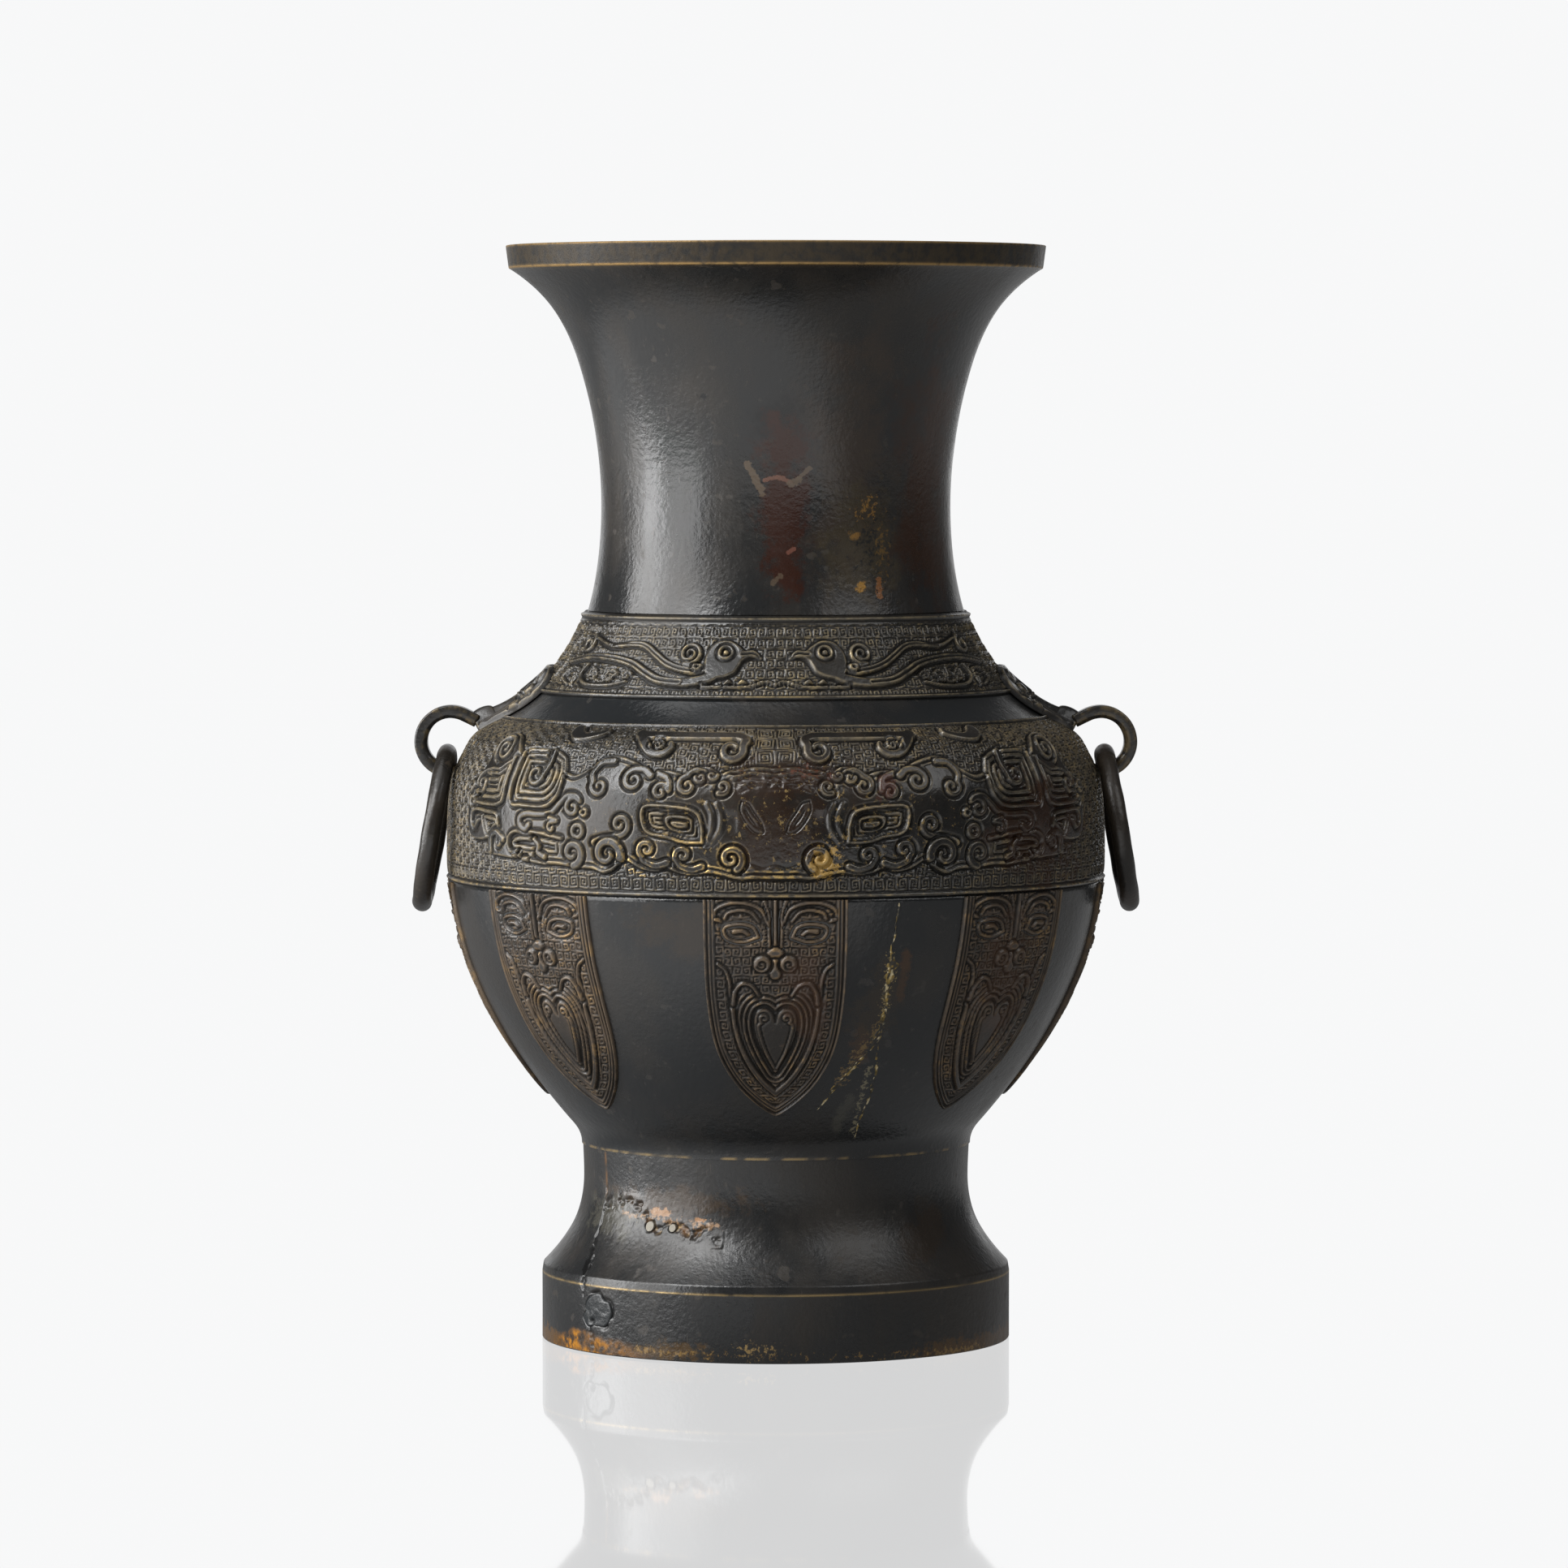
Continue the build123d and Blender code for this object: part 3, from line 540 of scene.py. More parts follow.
def lumps(a, b, seed):
    """Smooth seeded lumps from 0 to 1 over a plane, one unit apart."""
    table = np.random.default_rng(seed).random((97, 89))
    i, j = np.floor(a).astype(int), np.floor(b).astype(int)
    s, t = step_up(a - i, 0, 1), step_up(b - j, 0, 1)
    below = (1 - s) * table[i % 97, j % 89] + s * table[(i + 1) % 97, j % 89]
    above = (1 - s) * table[i % 97, (j + 1) % 89] + s * table[(i + 1) % 97, (j + 1) % 89]
    return (1 - t) * below + t * above


def fret(u, v, wide, tall, turns=1.75):
    """Squared spirals in rows, each turned over against the next: 0 in the grooves and 1 on the lines."""
    i, j = np.floor(u / wide), np.floor(v / tall)
    flip = np.where((i + j) % 2 > 0.5, 1, -1)
    x, y = (u / wide - i - 0.5) * flip, v / tall - j - 0.5
    wound = np.maximum(abs(x), abs(y)) * 2 * turns - np.arctan2(y, x) / (2 * np.pi)
    return 0.5 + 0.5 * np.cos(2 * np.pi * wound)


def moulded(ground, deep, level, edge=1.1, groove=-0.45):
    """Smooth shapes raised from the ground to a level, with rounded edges and a groove round them."""
    low = ground + (np.minimum(ground, groove) - ground) * step_up(deep, -1.5, -0.4)
    return low + (level - low) * step_up(deep, -0.2, edge)


def nested(relief, deep, pitch, low=-0.4, high=0.2):
    """Sunk shapes filled with lines that follow their outlines inwards."""
    lines = low + (high - low) * step_up(-np.cos(2 * np.pi * deep / pitch), -0.85, 0.25)
    return relief + (lines - relief) * step_up(deep, -0.3, 0.5)


def thread(relief, u, v, line, tall=0.5, wide=0.6):
    """Add a raised line between two fine grooves."""
    m = near(u, v, line, 4 * wide)
    d = distance(u[m], v[m], line) / wide
    relief[m] += tall * np.exp(-d * d) - 0.75 * tall * np.exp(-((d - 2.0) / 0.75) ** 2)


def wear_dust_and_shade(relief):
    """Wear, dust and painted highlight on what stands out, and dirt and painted shade in what lies low,
    for a relief in millimetres.
    """
    soft = relief
    for axis in (0, 1):
        soft = sum(np.roll(soft, k, axis) for k in range(-2, 3)) / 5
    rise = relief - soft
    return step_up(rise, 0.03, 0.26), step_up(-rise, 0.01, 0.2)


def cast(name, line, out, angle, relief, handling=1.0, bold=1.0, drop=1.6):
    """Mesh object of a turned line with a relief in millimetres, its upper and lower edges turned in to the
    wall. Handling is how much hands have worn each place."""
    # What stands out gets wear and a pale colour of dust and painted highlight; what lies low gets dirt and
    # painted shade.
    rise, stain_and_shade = wear_dust_and_shade(relief)
    angle = np.broadcast_to(angle, relief.shape)
    layers = (line, out, angle, relief * bold, rise, rise * handling, stain_and_shade)
    line, out, angle, relief, rise, wear, stain_and_shade = (np.pad(a, ((1, 1), (0, 0)), mode="edge") for a in layers)
    relief[[0, -1]] = -drop
    r, z = (line[:, k:k + 1] + out[:, k:k + 1] * relief / 1000 for k in (0, 1))
    return sheet(name, round_axis(r, angle, z), False, [("rise", rise), ("wear", wear), ("stain_and_shade", stain_and_shade)])


bird_line, bird_out, length = evened(smooth_line(moved_out(ground[9:], band_stand), 0.0005), bird_cell)
length *= 1000
angle = (np.arange(bird_columns) + 0.5) * math.pi / 2 / bird_columns
u, v = np.meshgrid(angle * bird_radius, np.linspace(length, 0, len(bird_line)))
relief = fret_floor + fret_tall * fret(u, v - 5.2, 4.3, 5.1)
back_feather = [
    (113, 24), (96, 21.2), (80, 21.6), (67, 24), (58, 28.3), (50, 32), (40, 33.2), (30, 31.5), (24, 28),
]
wing_feather = [
    (98, 12), (84, 15.4), (70, 14.2), (62.5, 15.2), (55, 19.6), (49, 23.4), (42, 26.2), (35, 27.4),
    (29, 25),
]
deep = np.maximum.reduce([
    strap(u, v, drawn(back_feather), (1.4, 2.9)),
    strap(u, v, drawn(wing_feather), (1.0, 2.3)),
    strap(u, v, scroll(38.7, 18.4, 5.6, 75, 1.75, tail=[(29, 24.5), (33.5, 25.2)]), (1.7, 1.0)),
    strap(u, v, scroll(103.5, 15, 4.8, 240, -1.2), (1.5, 0.9)),
    strap(u, v, drawn([(94.5, 25.5), (96, 31), (90, 35), (76, 35.4), (66, 33)]), (1.5, 0.9)),
    shape(u, v, drawn([
        (31.5, 26), (31, 18), (27, 12.6), (21, 11.6), (16, 14.2), (13, 16.6), (9, 16.4), (5.8, 20.6),
        (9.8, 20.4), (13.5, 22), (15, 25), (17, 28.5), (22, 31), (28, 31), (31.5, 26),
    ])),
    shape(u, v, drawn([(21.6, 33), (19.5, 30.7), (17.6, 32.4), (19, 33.6), (21.6, 33)])),
    shape(u, v, drawn([(15.8, 33), (13.8, 30.8), (11.2, 32.6), (13, 33.8), (15.8, 33)])),
])
relief = moulded(relief, deep, 0.6)
for line in (back_feather[:-2], wing_feather[1:-1], [(7, 19.8), (10, 18.6), (14.5, 19)]):
    thread(relief, u, v, drawn(line), -0.35, 0.5)
for line in (
    scroll(21.8, 18.2, 3.0, 0, 1.0, core=1.0),
    scroll(21.8, 18.2, 0.5, 0, 1.0, core=1.0),
    scroll(33.5, 25.4, 1.5, 0, 1.0, core=1.0),
    scroll(87.5, 29.6, 3.2, 300, 1.2),
    scroll(76.5, 30.6, 3.4, 200, 1.3, tail=[(84, 32.8), (80, 33.2)]),
    scroll(67.5, 29.8, 2.4, 200, 1.1),
    drawn([(30, 34.6), (20, 35), (10, 34.2), (4, 32), (0, 33.5)]),
    drawn([(100, 36), (101, 28), (107, 27.4), (112, 32), (106, 35)]),
    drawn([(116, 12), (122, 17), (119, 25), (124, 32)]),
):
    thread(relief, u, v, line, 0.48, 0.68)
low = length - v
top_lines = -0.35 + 0.75 * np.exp(-((v - 1.9) / 1.0) ** 2) + 0.25 * np.exp(-((v - 4.0) / 0.5) ** 2)
relief = np.where(v < 4.6, top_lines, relief)
relief = np.where(low < 2.6, -0.35 + 0.7 * np.exp(-((low - 1.0) / 0.75) ** 2), relief)
bird_handling = 0.16 + 0.5 * step_up(lumps(u / 7, v / 5, 31), 0.55, 0.9)
# Its near-black ground colour is dirt and painted shade in the hollows of the relief, and its pale crests are
# dust and painted highlight.
bird_patina = patina(
    "bird_band_patina", (0.012, 0.0112, 0.01), (0.024, 0.019, 0.013), (0.5, 0.38, 0.18),
    (0.004, 0.0034, 0.0026), rough=0.25,
)
for name, turn in (("bird_band_front", 0), ("bird_band_back", math.pi)):
    both, rubs = (np.hstack([a[:, ::-1], a]) for a in (relief, bird_handling))
    angles = np.r_[-angle[::-1], angle]
    angles[[0, -1]] = -math.pi / 2, math.pi / 2
    band = cast(name, bird_line, bird_out, angles + turn, both, rubs, band_bold)
    band.data.materials.append(bird_patina)
    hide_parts("belly")
    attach(band, "vessel")

# Belly wall: the plain belly, the plain strip on the shoulder and the inside, one bronze casting turned
# smooth. It runs on under the ornament, and its lower end is the spigot that stands in the foot.
wall_thick = 0.004
under_band = 0.0006
belly_columns = 264
casting_uneven = 0.00016
skirt = [(0.0856, 0.0858, 0), (0.0866, 0.0905, 22), (0.0901, 0.0957, 41.5)]
belly_spigot = [
    (0.078, 0.0885), (0.078, 0.0772), (0.081, 0.0772), (0.081, 0.0887), (0.0853, 0.0887),
    (0.0853, 0.0858), (0.0856, 0.0858),
]
wall_line = np.vstack([
    smooth_line(skirt, 0.0007)[:-1],
    smooth_line(skirt[-1:] + ground[1:4], 0.0025),
    smooth_line(moved_out(ground[3:9], -under_band), 0.003),
    smooth_line(ground[8:10], 0.0012),
    smooth_line(moved_out(ground[9:], -under_band), 0.003),
    [(0.079, collar_z), (0.079, 0.3083)],
    smooth_line(moved_out(ground[10::-1], -wall_thick), 0.005),
    belly_spigot,
])
angle = np.linspace(-math.pi, math.pi, belly_columns, endpoint=False)[None, :]
seam = (np.arange(len(wall_line)) < 2)[:, None] * step_up(lumps(angle * 17 + 80, 0 * angle, 19), 0.35, 0.7)
dents = ripple(angle, wall_line[:, 1:], casting_uneven)
belly_wall = sheet("belly_wall", turned(wall_line, angle, dents), True, [("wear", 0.6 * seam)])
rust, brown, pale = (0.075, 0.034, 0.012), (0.034, 0.024, 0.014), (0.075, 0.072, 0.055)
crumbs, sand, ash = (0.3, 0.22, 0.09), (0.2, 0.13, 0.045), (0.24, 0.21, 0.13)
belly_patina = patina(
    "belly_patina", (0.0135, 0.0148, 0.016), (0.022, 0.02, 0.018), (0.42, 0.3, 0.14),
    (0.05, 0.038, 0.022), rough=0.21, patchy=(0.6, 1.0), stains=[
        stroke((0.0555, -0.126, 0.178), (0.0525, -0.124, 0.158), 0.0024, rust, 0.6, 200.0, 0.45, 0.05),
        stroke((0.0368, -0.117, 0.143), (0.035, -0.114, 0.133), 0.0042, rust, 0.5, 200.0, 0.45, 0.05),
        stroke((0.047, -0.126, 0.166), (0.04, -0.122, 0.146), 0.01, brown, 0.6, 160.0, 0.5, 0.05),
        stroke((0.032, -0.098, 0.114), (0.0262, -0.09, 0.101), 0.0034, pale, 0.45, 220.0, 0.45, 0.05),
        ((-0.036, -0.138, 0.188), (0.03, 0.05, 0.016), (0.034, 0.024, 0.015), 0.6, 60.0, 0.4),
    ], flecks=[
        stroke((0.0495, -0.128, 0.177), (0.0455, -0.122, 0.152), 0.0065, crumbs, 0.8, 520.0, 0.14, 0.05),
        stroke((0.043, -0.116, 0.146), (0.027, -0.108, 0.122), 0.007, sand, 0.75, 480.0, 0.16, 0.05),
        stroke((0.04, -0.108, 0.128), (0.033, -0.09, 0.098), 0.0042, ash, 0.7, 560.0, 0.14, 0.05),
    ],
)
belly_wall.data.materials.append(belly_patina)
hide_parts("belly")
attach(belly_wall, "vessel")

# Mask band: a beast face on the front and on the back, its side bodies running round to the handles, cast
# in relief on the bronze belly. One smooth mass lies on squared spirals, and eyes, curls and nests of lines
# are cut in it. It is shown as four quarter rings.
mask_cell = 0.00044
mask_radius = 143.0
mask_columns = 508
mask_line, mask_out, length = evened(smooth_line(moved_out(ground[3:9], band_stand), 0.0005), mask_cell)
length *= 1000
angle = (np.arange(mask_columns) + 0.5) * math.pi / 2 / mask_columns
u, v = np.meshgrid(angle * mask_radius, np.linspace(length, 0, len(mask_line)))
low = length - v
staggered = fret(u, v - 3.0 + 2.4 * (np.floor(u / 5.0) % 2), 5.0, 4.8)
relief = np.where((u < 9.5) & (v < 26), fret(u, v - 3.0, 9.5, 7.6, 3.2), staggered)
relief = np.where(low < 8.8, fret(u, low - 2.6, 5.2, 6.2, 2.2), relief)
relief = fret_floor + fret_tall * relief
brow = [
    (-6, 27.5), (0, 27), (9.5, 26.4), (14, 27.6), (19, 27.8), (24, 29.3), (29, 26.6), (35, 27),
    (38.6, 30.6), (44, 29), (51, 28.4), (56, 30.5), (60, 26.6), (65, 24), (74, 22), (82, 24.2),
    (86, 28.5), (92, 31.5), (98, 30.5),
]
flank = [
    (101, 23.4), (108, 20.4), (121, 20), (127.6, 20.4), (131, 24), (134.4, 20), (138.4, 15.6),
    (144, 12.4), (151, 12.8), (155, 20), (156.6, 30), (161, 34.4), (166.6, 36), (169, 40.6), (166, 46),
    (165.4, 56), (160.6, 62), (151, 62.6), (144.6, 62), (143, 68.6),
]
jaw = [
    (127, 69.4), (118, 70.2), (110, 71.2), (100, 71), (93, 71.6), (86, 72), (80, 72.4), (75.5, 74),
    (70.5, 72.4), (65, 68.2), (58, 71.4), (51, 72.4), (46, 71), (42, 72.6), (35, 73.6), (29, 72.8),
    (24, 73.4), (15, 75.4), (8, 75), (0, 75.2), (-6, 75.2),
]
leaf = [
    (85.5, 4.4), (92, 8.5), (99, 8.6), (104, 3.6), (108.5, 5), (108, 11), (102.5, 15), (95, 14.6),
    (88, 12), (85, 9), (85.5, 4.4),
]
relief = moulded(relief, np.maximum.reduce([
    shape(u, v, np.vstack([drawn(brow, 1.0), drawn(flank, 1.0), drawn(jaw, 1.0)])),
    strap(u, v, drawn([(66.5, 9.6), (50, 9.8), (30, 9.8), (17.5, 9.8)], 5.0), (3.2, 3.0)),
    strap(u, v, scroll(19.7, 18.6, 5.6, 205, -0.95, core=0.5, tail=[(17.5, 9.8), (13.6, 12.4)]), (3.0, 1.5)),
    strap(u, v, drawn([
        (66.5, 8.5), (62.5, 15), (57.5, 20.2), (52, 20.9), (48.6, 18.2), (48.8, 15.4),
    ]), (3.2, 1.6)),
    shape(u, v, drawn(leaf)),
]), 0.55, 0.8, -0.6)
thread(relief, u, v, drawn([(a, b + 2.6) for a, b in brow]), -0.3, 0.5)
thread(relief, u, v, drawn([(a, b - 2.4) for a, b in jaw]), -0.3, 0.5)
thread(relief, u, v, scroll(55.2, 15.8, 3.6, 20, -1.4), 0.5, 0.7)
nests = (
    [
        (101.5, 25), (108, 22.4), (115, 22), (121, 22), (126.8, 23.4), (127.6, 33), (127, 43.4),
        (120, 44.6), (109, 44.6), (103.6, 42), (100.4, 37.6), (99.6, 31), (101.5, 25),
    ],
    [
        (135.4, 27), (138.6, 28.6), (143, 31.4), (149, 31.6), (155, 33), (159, 38), (157, 43.6),
        (150, 45), (140, 44.6), (136.2, 42), (135.4, 34), (135.4, 27),
    ],
    [
        (98.6, 60.6), (108, 59.4), (122, 59), (127, 61), (127, 64.6), (121, 65.4), (110, 66), (99, 66.4),
        (98.6, 60.6),
    ],
    [(137, 54.4), (140, 51.8), (150, 51.4), (149, 57), (146, 60.4), (143, 59), (137, 54.4)],
)
for outline in nests:
    relief = nested(relief, shape(u, v, drawn(outline)), 2.9, -0.4, 0.45)
for line, half in (
    (scroll(116.5, 32.2, 5.2, 190, -1.0, core=0.3, tail=[(110, 21.5), (110, 27)]), (2.2, 1.2)),
    (scroll(155, 38.2, 3.6, 60, 1.0, core=0.4, tail=[(161, 46), (159, 42)]), (1.8, 1.1)),
    (drawn([(113, 60.4), (110.4, 63), (110.6, 66), (107, 67.6)]), (1.4, 1.8)),
    (drawn([(122, 66.4), (121, 68.8), (117.6, 69)]), (1.2, 1.6)),
):
    relief = moulded(relief, strap(u, v, line, half), 0.5)
eye = drawn([
    (30.8, 59.4), (31.2, 52), (34.6, 46.4), (46, 44.6), (55, 44.6), (57.2, 47.4), (56, 53.4),
    (52.6, 56.2), (46, 57.2), (38.6, 59.4), (30.8, 59.4),
])
eyelid = drawn([
    (35, 49.6), (38, 48), (46.2, 48), (47.6, 51), (44.6, 54.6), (38, 55.8), (35, 55), (35, 49.6),
])
pupil = drawn([(37, 51), (43.6, 50.4), (44.6, 52), (41.6, 53.8), (37.2, 53.6), (37, 51)])
relief = nested(relief, shape(u, v, eye) - 0.4, 1.9, -0.35, 0.3)
relief = moulded(relief, shape(u, v, eyelid), 0.3)
relief = moulded(relief, shape(u, v, pupil), 0.7, 0.8)
for line in (
    eye,
    drawn([(96.8, 59.4), (108, 57.6), (123, 57.2), (128.4, 59.6), (128.8, 64), (125.6, 67.4), (122, 67.8)]),
    drawn([
        (98.6, 33), (99.4, 39.4), (103, 44.2), (109, 46.4), (121, 46.2), (128.8, 45), (129, 33),
        (128.4, 23),
    ]),
    drawn([(133.6, 25), (134.2, 42), (138, 46.2), (147, 46.8), (157, 46), (161, 43.4)]),
    drawn([(136.6, 55.4), (138.6, 50.8), (147, 49.8), (158, 49.8), (160, 54.6), (156.6, 57), (153.8, 54)]),
    scroll(145, 21.6, 7.4, 60, -1.9, core=0.12),
    scroll(85, 47.8, 1.8, 0, 0.75, core=0.6),
):
    thread(relief, u, v, line, 0.55, 0.72)
for line in (
    drawn([(28.6, 43.4), (26.6, 48), (27, 55), (29.4, 59.6)]),
    drawn([(24.6, 43.6), (22.6, 48.6), (23.4, 54.4), (27, 59.4)]),
    drawn([(3, 30.4), (10, 29.4), (17, 32), (21, 30.6)]),
    drawn([(4, 34.6), (10, 34), (15, 36.6)]),
    drawn([(-4, 70.8), (0, 70.4), (5, 71.6), (10, 70)]),
):
    thread(relief, u, v, line, 0.22, 0.9)
nostril = drawn([
    (14.6, 41.5), (15.2, 46), (12.5, 51.5), (8.5, 55.5), (4.5, 55.5), (5.5, 51), (8.5, 46.5), (11, 42.8),
    (14.6, 41.5),
])
relief = nested(relief, shape(u, v, nostril), 3.4, 0.1, 0.5)
relief = relief - 0.4 * np.exp(-((u - 18.8) / 3.0) ** 4 - ((v - 51.5) / 4.6) ** 4)
scaly = step_up(v, 25, 28) * step_up(40 - v, 0, 5) * step_up(36 - u, 0, 10)
relief = relief + scaly * (0.5 * lumps(u / 2.2 + 60, v / 1.1, 34) - 0.25)
body_curl = [
    (116.4, 54.4), (118.6, 56.2), (122, 54.4), (122, 51.2), (118, 49.6), (111, 49.6), (103.5, 48.8),
    (98.4, 44.4), (94.6, 41.2), (90, 41.2),
]
for line, half in (
    (scroll(91.4, 46.2, 4.6, 220, 1.15, tail=body_curl), (1.35, 1.0)),
    (scroll(102.6, 55.0, 2.6, 250, 0.8, tail=[(104, 51.0), (99.8, 52.0)]), (1.0, 0.8)),
    (scroll(164.8, 40.4, 3.0, 200, 1.0), (1.1, 0.8)),
    (scroll(136.4, 62.4, 2.8, 200, 1.0, tail=[(143.4, 66.4), (143, 60.4), (139, 58.6)]), (1.6, 1.0)),
    (scroll(37.8, 35.6, 4.4, 280, 1.1, tail=[(31, 29.6), (35, 28.8)]), (1.5, 0.9)),
    (scroll(32.2, 32, 2.4, 0, 0.9), (1.0, 0.8)),
    (scroll(27.2, 31, 2.2, 180, -0.9), (1.0, 0.8)),
    (scroll(22.4, 36, 3.2, 60, 1.0), (1.2, 0.8)),
    (scroll(49.6, 38.4, 3.8, 190, 1.15, tail=[(52, 30.4), (47, 32.6)]), (1.4, 0.9)),
    (scroll(62.6, 33.6, 4.8, 280, 1.15, tail=[(55, 31.2), (58.6, 28.6)]), (1.6, 0.9)),
    (scroll(78.8, 36.8, 4.2, 330, 1.1, tail=[(74, 25), (80, 26), (83.4, 31)]), (1.5, 0.9)),
    (scroll(67.4, 52.6, 4.4, 110, 1.15, tail=[(79.5, 60.5), (74.6, 59), (70.6, 58.4)]), (1.6, 0.9)),
    (scroll(55, 62.8, 4.0, 60, -1.1, tail=[(46, 68.4), (51, 69.6), (56.4, 67.6)]), (1.5, 0.9)),
    (scroll(39, 65, 3.8, 60, -1.1, tail=[(31, 69.8), (35, 71.0), (39.6, 69.8)]), (1.5, 0.9)),
    (scroll(88.4, 56, 2.6, 0, 1.0, core=1.0), (1.0, 1.0)),
    (scroll(91, 65.4, 5.4, 100, 1.05, core=0.3), (1.7, 1.0)),
):
    relief = moulded(relief, strap(u, v, line, half) + 0.25, 0.72, 0.7, 0.0)
for line, half in (
    (scroll(18.4, 66.2, 5.2, 120, 1.35, core=0.15), (2.0, 1.1)),
    (scroll(73.4, 65.2, 6.6, 170, 1.1, core=0.25), (2.4, 1.3)),
):
    relief = moulded(relief, strap(u, v, line, half), 0.95, 1.0, -0.1)
relief = np.where(low < 2.6, -0.4 + 0.75 * np.exp(-((low - 1.2) / 0.9) ** 2), relief)
relief = np.where(v < 2.6, -0.4 + 0.75 * np.exp(-((v - 1.3) / 0.8) ** 2), relief)
jaws = step_up(v, 55, 62) * step_up(90 - u, 0, 40) * (low > 8.8) + 0.25 * (low < 2.6)
touched = step_up(lumps(u / 8, v / 7, 32) + 0.4 * jaws, 0.4, 0.8)
mask_handling = 0.08 + touched * (0.16 + 0.84 * np.clip(jaws, 0, 1))
# Its near-black ground colour is dirt and painted shade in the hollows of the relief, and its pale crests are
# dust and painted highlight.
mask_patina = patina(
    "mask_band_patina", (0.0115, 0.0108, 0.01), (0.024, 0.0175, 0.0115), (0.68, 0.47, 0.18),
    (0.004, 0.0034, 0.0026), rough=0.22, patchy=(0.92, 1.06), stains=[
        ((0.002, -0.142, 0.232), (0.026, 0.05, 0.02), (0.024, 0.012, 0.006), 0.8, 70.0, 0.4),
        ((0.004, -0.14, 0.253), (0.034, 0.05, 0.012), (0.026, 0.013, 0.007), 0.8, 90.0, 0.4),
        ((0.047, -0.132, 0.249), (0.005, 0.05, 0.0075), (0.066, 0.022, 0.013), 0.8, 190.0, 0.2),
        ((0.0205, -0.142, 0.2175), (0.0075, 0.05, 0.008), (0.42, 0.26, 0.07), 0.85, 330.0, 0.14),
        ((0.112, -0.086, 0.228), (0.03, 0.05, 0.028), (0.032, 0.012, 0.004), 0.8, 80.0, 0.35),
    ], flecks=[
        ((0.014, -0.132, 0.2555), (0.028, 0.05, 0.008), (0.12, 0.036, 0.018), 0.8, 330.0, 0.16),
        ((-0.01, -0.126, 0.254), (0.02, 0.05, 0.007), (0.15, 0.07, 0.03), 0.7, 420.0, 0.14),
        ((0.004, -0.126, 0.233), (0.14, 0.05, 0.06), (0.26, 0.18, 0.07), 0.75, 360.0, 0.09),
    ],
)
half = mask_columns // 2
around, rubs = (np.hstack([a[:, ::-1], a, a[:, ::-1], a]) for a in (relief, mask_handling))
angles = (np.arange(4 * mask_columns) - mask_columns + 0.5) * math.pi / 2 / mask_columns
for k, name in enumerate(("front", "right", "back", "left")):
    place = (np.arange(mask_columns + 1) + half + k * mask_columns) % (4 * mask_columns)
    quarter = cast(
        "mask_band_" + name, mask_line, mask_out, angles[place], around[:, place], rubs[:, place], band_bold,
    )
    quarter.data.materials.append(mask_patina)
    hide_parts("belly")
    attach(quarter, "vessel")

# Blades: eight hanging pointed panels cast in relief on the bronze belly, one drawn and the rest repeated
# round the axis. Each has lined edges, a band of squared spirals, horns, a nested heart, and a small face
# at the top.
blade_turns = {"blades_front": (-92.0, -46.5, 0.0, 46.5), "blades_back": (92.0, 136.0, 180.0, 224.0)}
blade_stand = 1.0
blade_rows = 210
blade_columns = 116
blade_length = 107
blade_floor, blade_tall = -0.4, 0.45
blade_side = drawn([
    (31, -12), (31, 0), (31.6, 25), (32, 45), (31, 64), (27.5, 78), (21, 90), (13, 98.6), (5, 104.6),
    (0, 107),
])
blade_line, blade_out, length = evened(smooth_line(ground[:4], 0.0005), 0.0002)
below = np.linspace(blade_length, 0.6, blade_rows)[:, None]
at = (length * 1000 - below[:, 0]) / 1000
run = np.linspace(0, length, len(blade_line))
line, out = placed(at, run, blade_line, blade_out)
wide = np.maximum(np.interp(below, blade_side[:, 1], blade_side[:, 0]), 0.5)
u = np.linspace(-1, 1, blade_columns)[None, :] * wide
v = below + 0 * u
across, u = u, abs(u)
deep = shape(u, v, np.vstack([blade_side, blade_side[::-1] * (-1, 1)]))
relief = blade_floor + blade_tall * fret(u + 2.1, v, 4.2, 4.2, 1.6)
relief = np.where(deep < 9.4, blade_floor + blade_tall * fret(v, deep - 5.2, 5.0, 4.2, 1.6), relief)
heart = drawn([
    (0, 55.5), (1.2, 51.5), (4.6, 48.6), (8.6, 50.2), (10.2, 55.5), (9.4, 63), (6.6, 71), (3, 78),
    (0, 82), (-3, 78), (-6.6, 71), (-9.4, 63), (-10.2, 55.5), (-8.6, 50.2), (-4.6, 48.6), (-1.2, 51.5),
    (0, 55.5),
])
heart_deep = shape(u, v, heart)
petals = -0.4 + 0.8 * (0.5 + 0.5 * np.cos(2 * np.pi * distance(u, v, heart) / 2.35))
relief = relief + (petals - relief) * step_up(v, 40, 44) * step_up(deep, 9.4, 10.4)
relief = moulded(relief, heart_deep, 0.3, 0.9, -0.4)
heart_curl = scroll(5.2, 53.6, 2.4, 60, -1.0, tail=[(0.6, 79), (4.6, 71), (7.4, 62), (8, 57)])
thread(relief, u, v, heart_curl, 0.4, 0.55)
eye = drawn([(7.2, 16.6), (9.6, 12.4), (15, 11), (21.8, 12.6), (20.6, 17.2), (14, 18.8), (7.2, 16.6)])
relief = moulded(relief, shape(u, v, eye) + 0.8, -0.3)
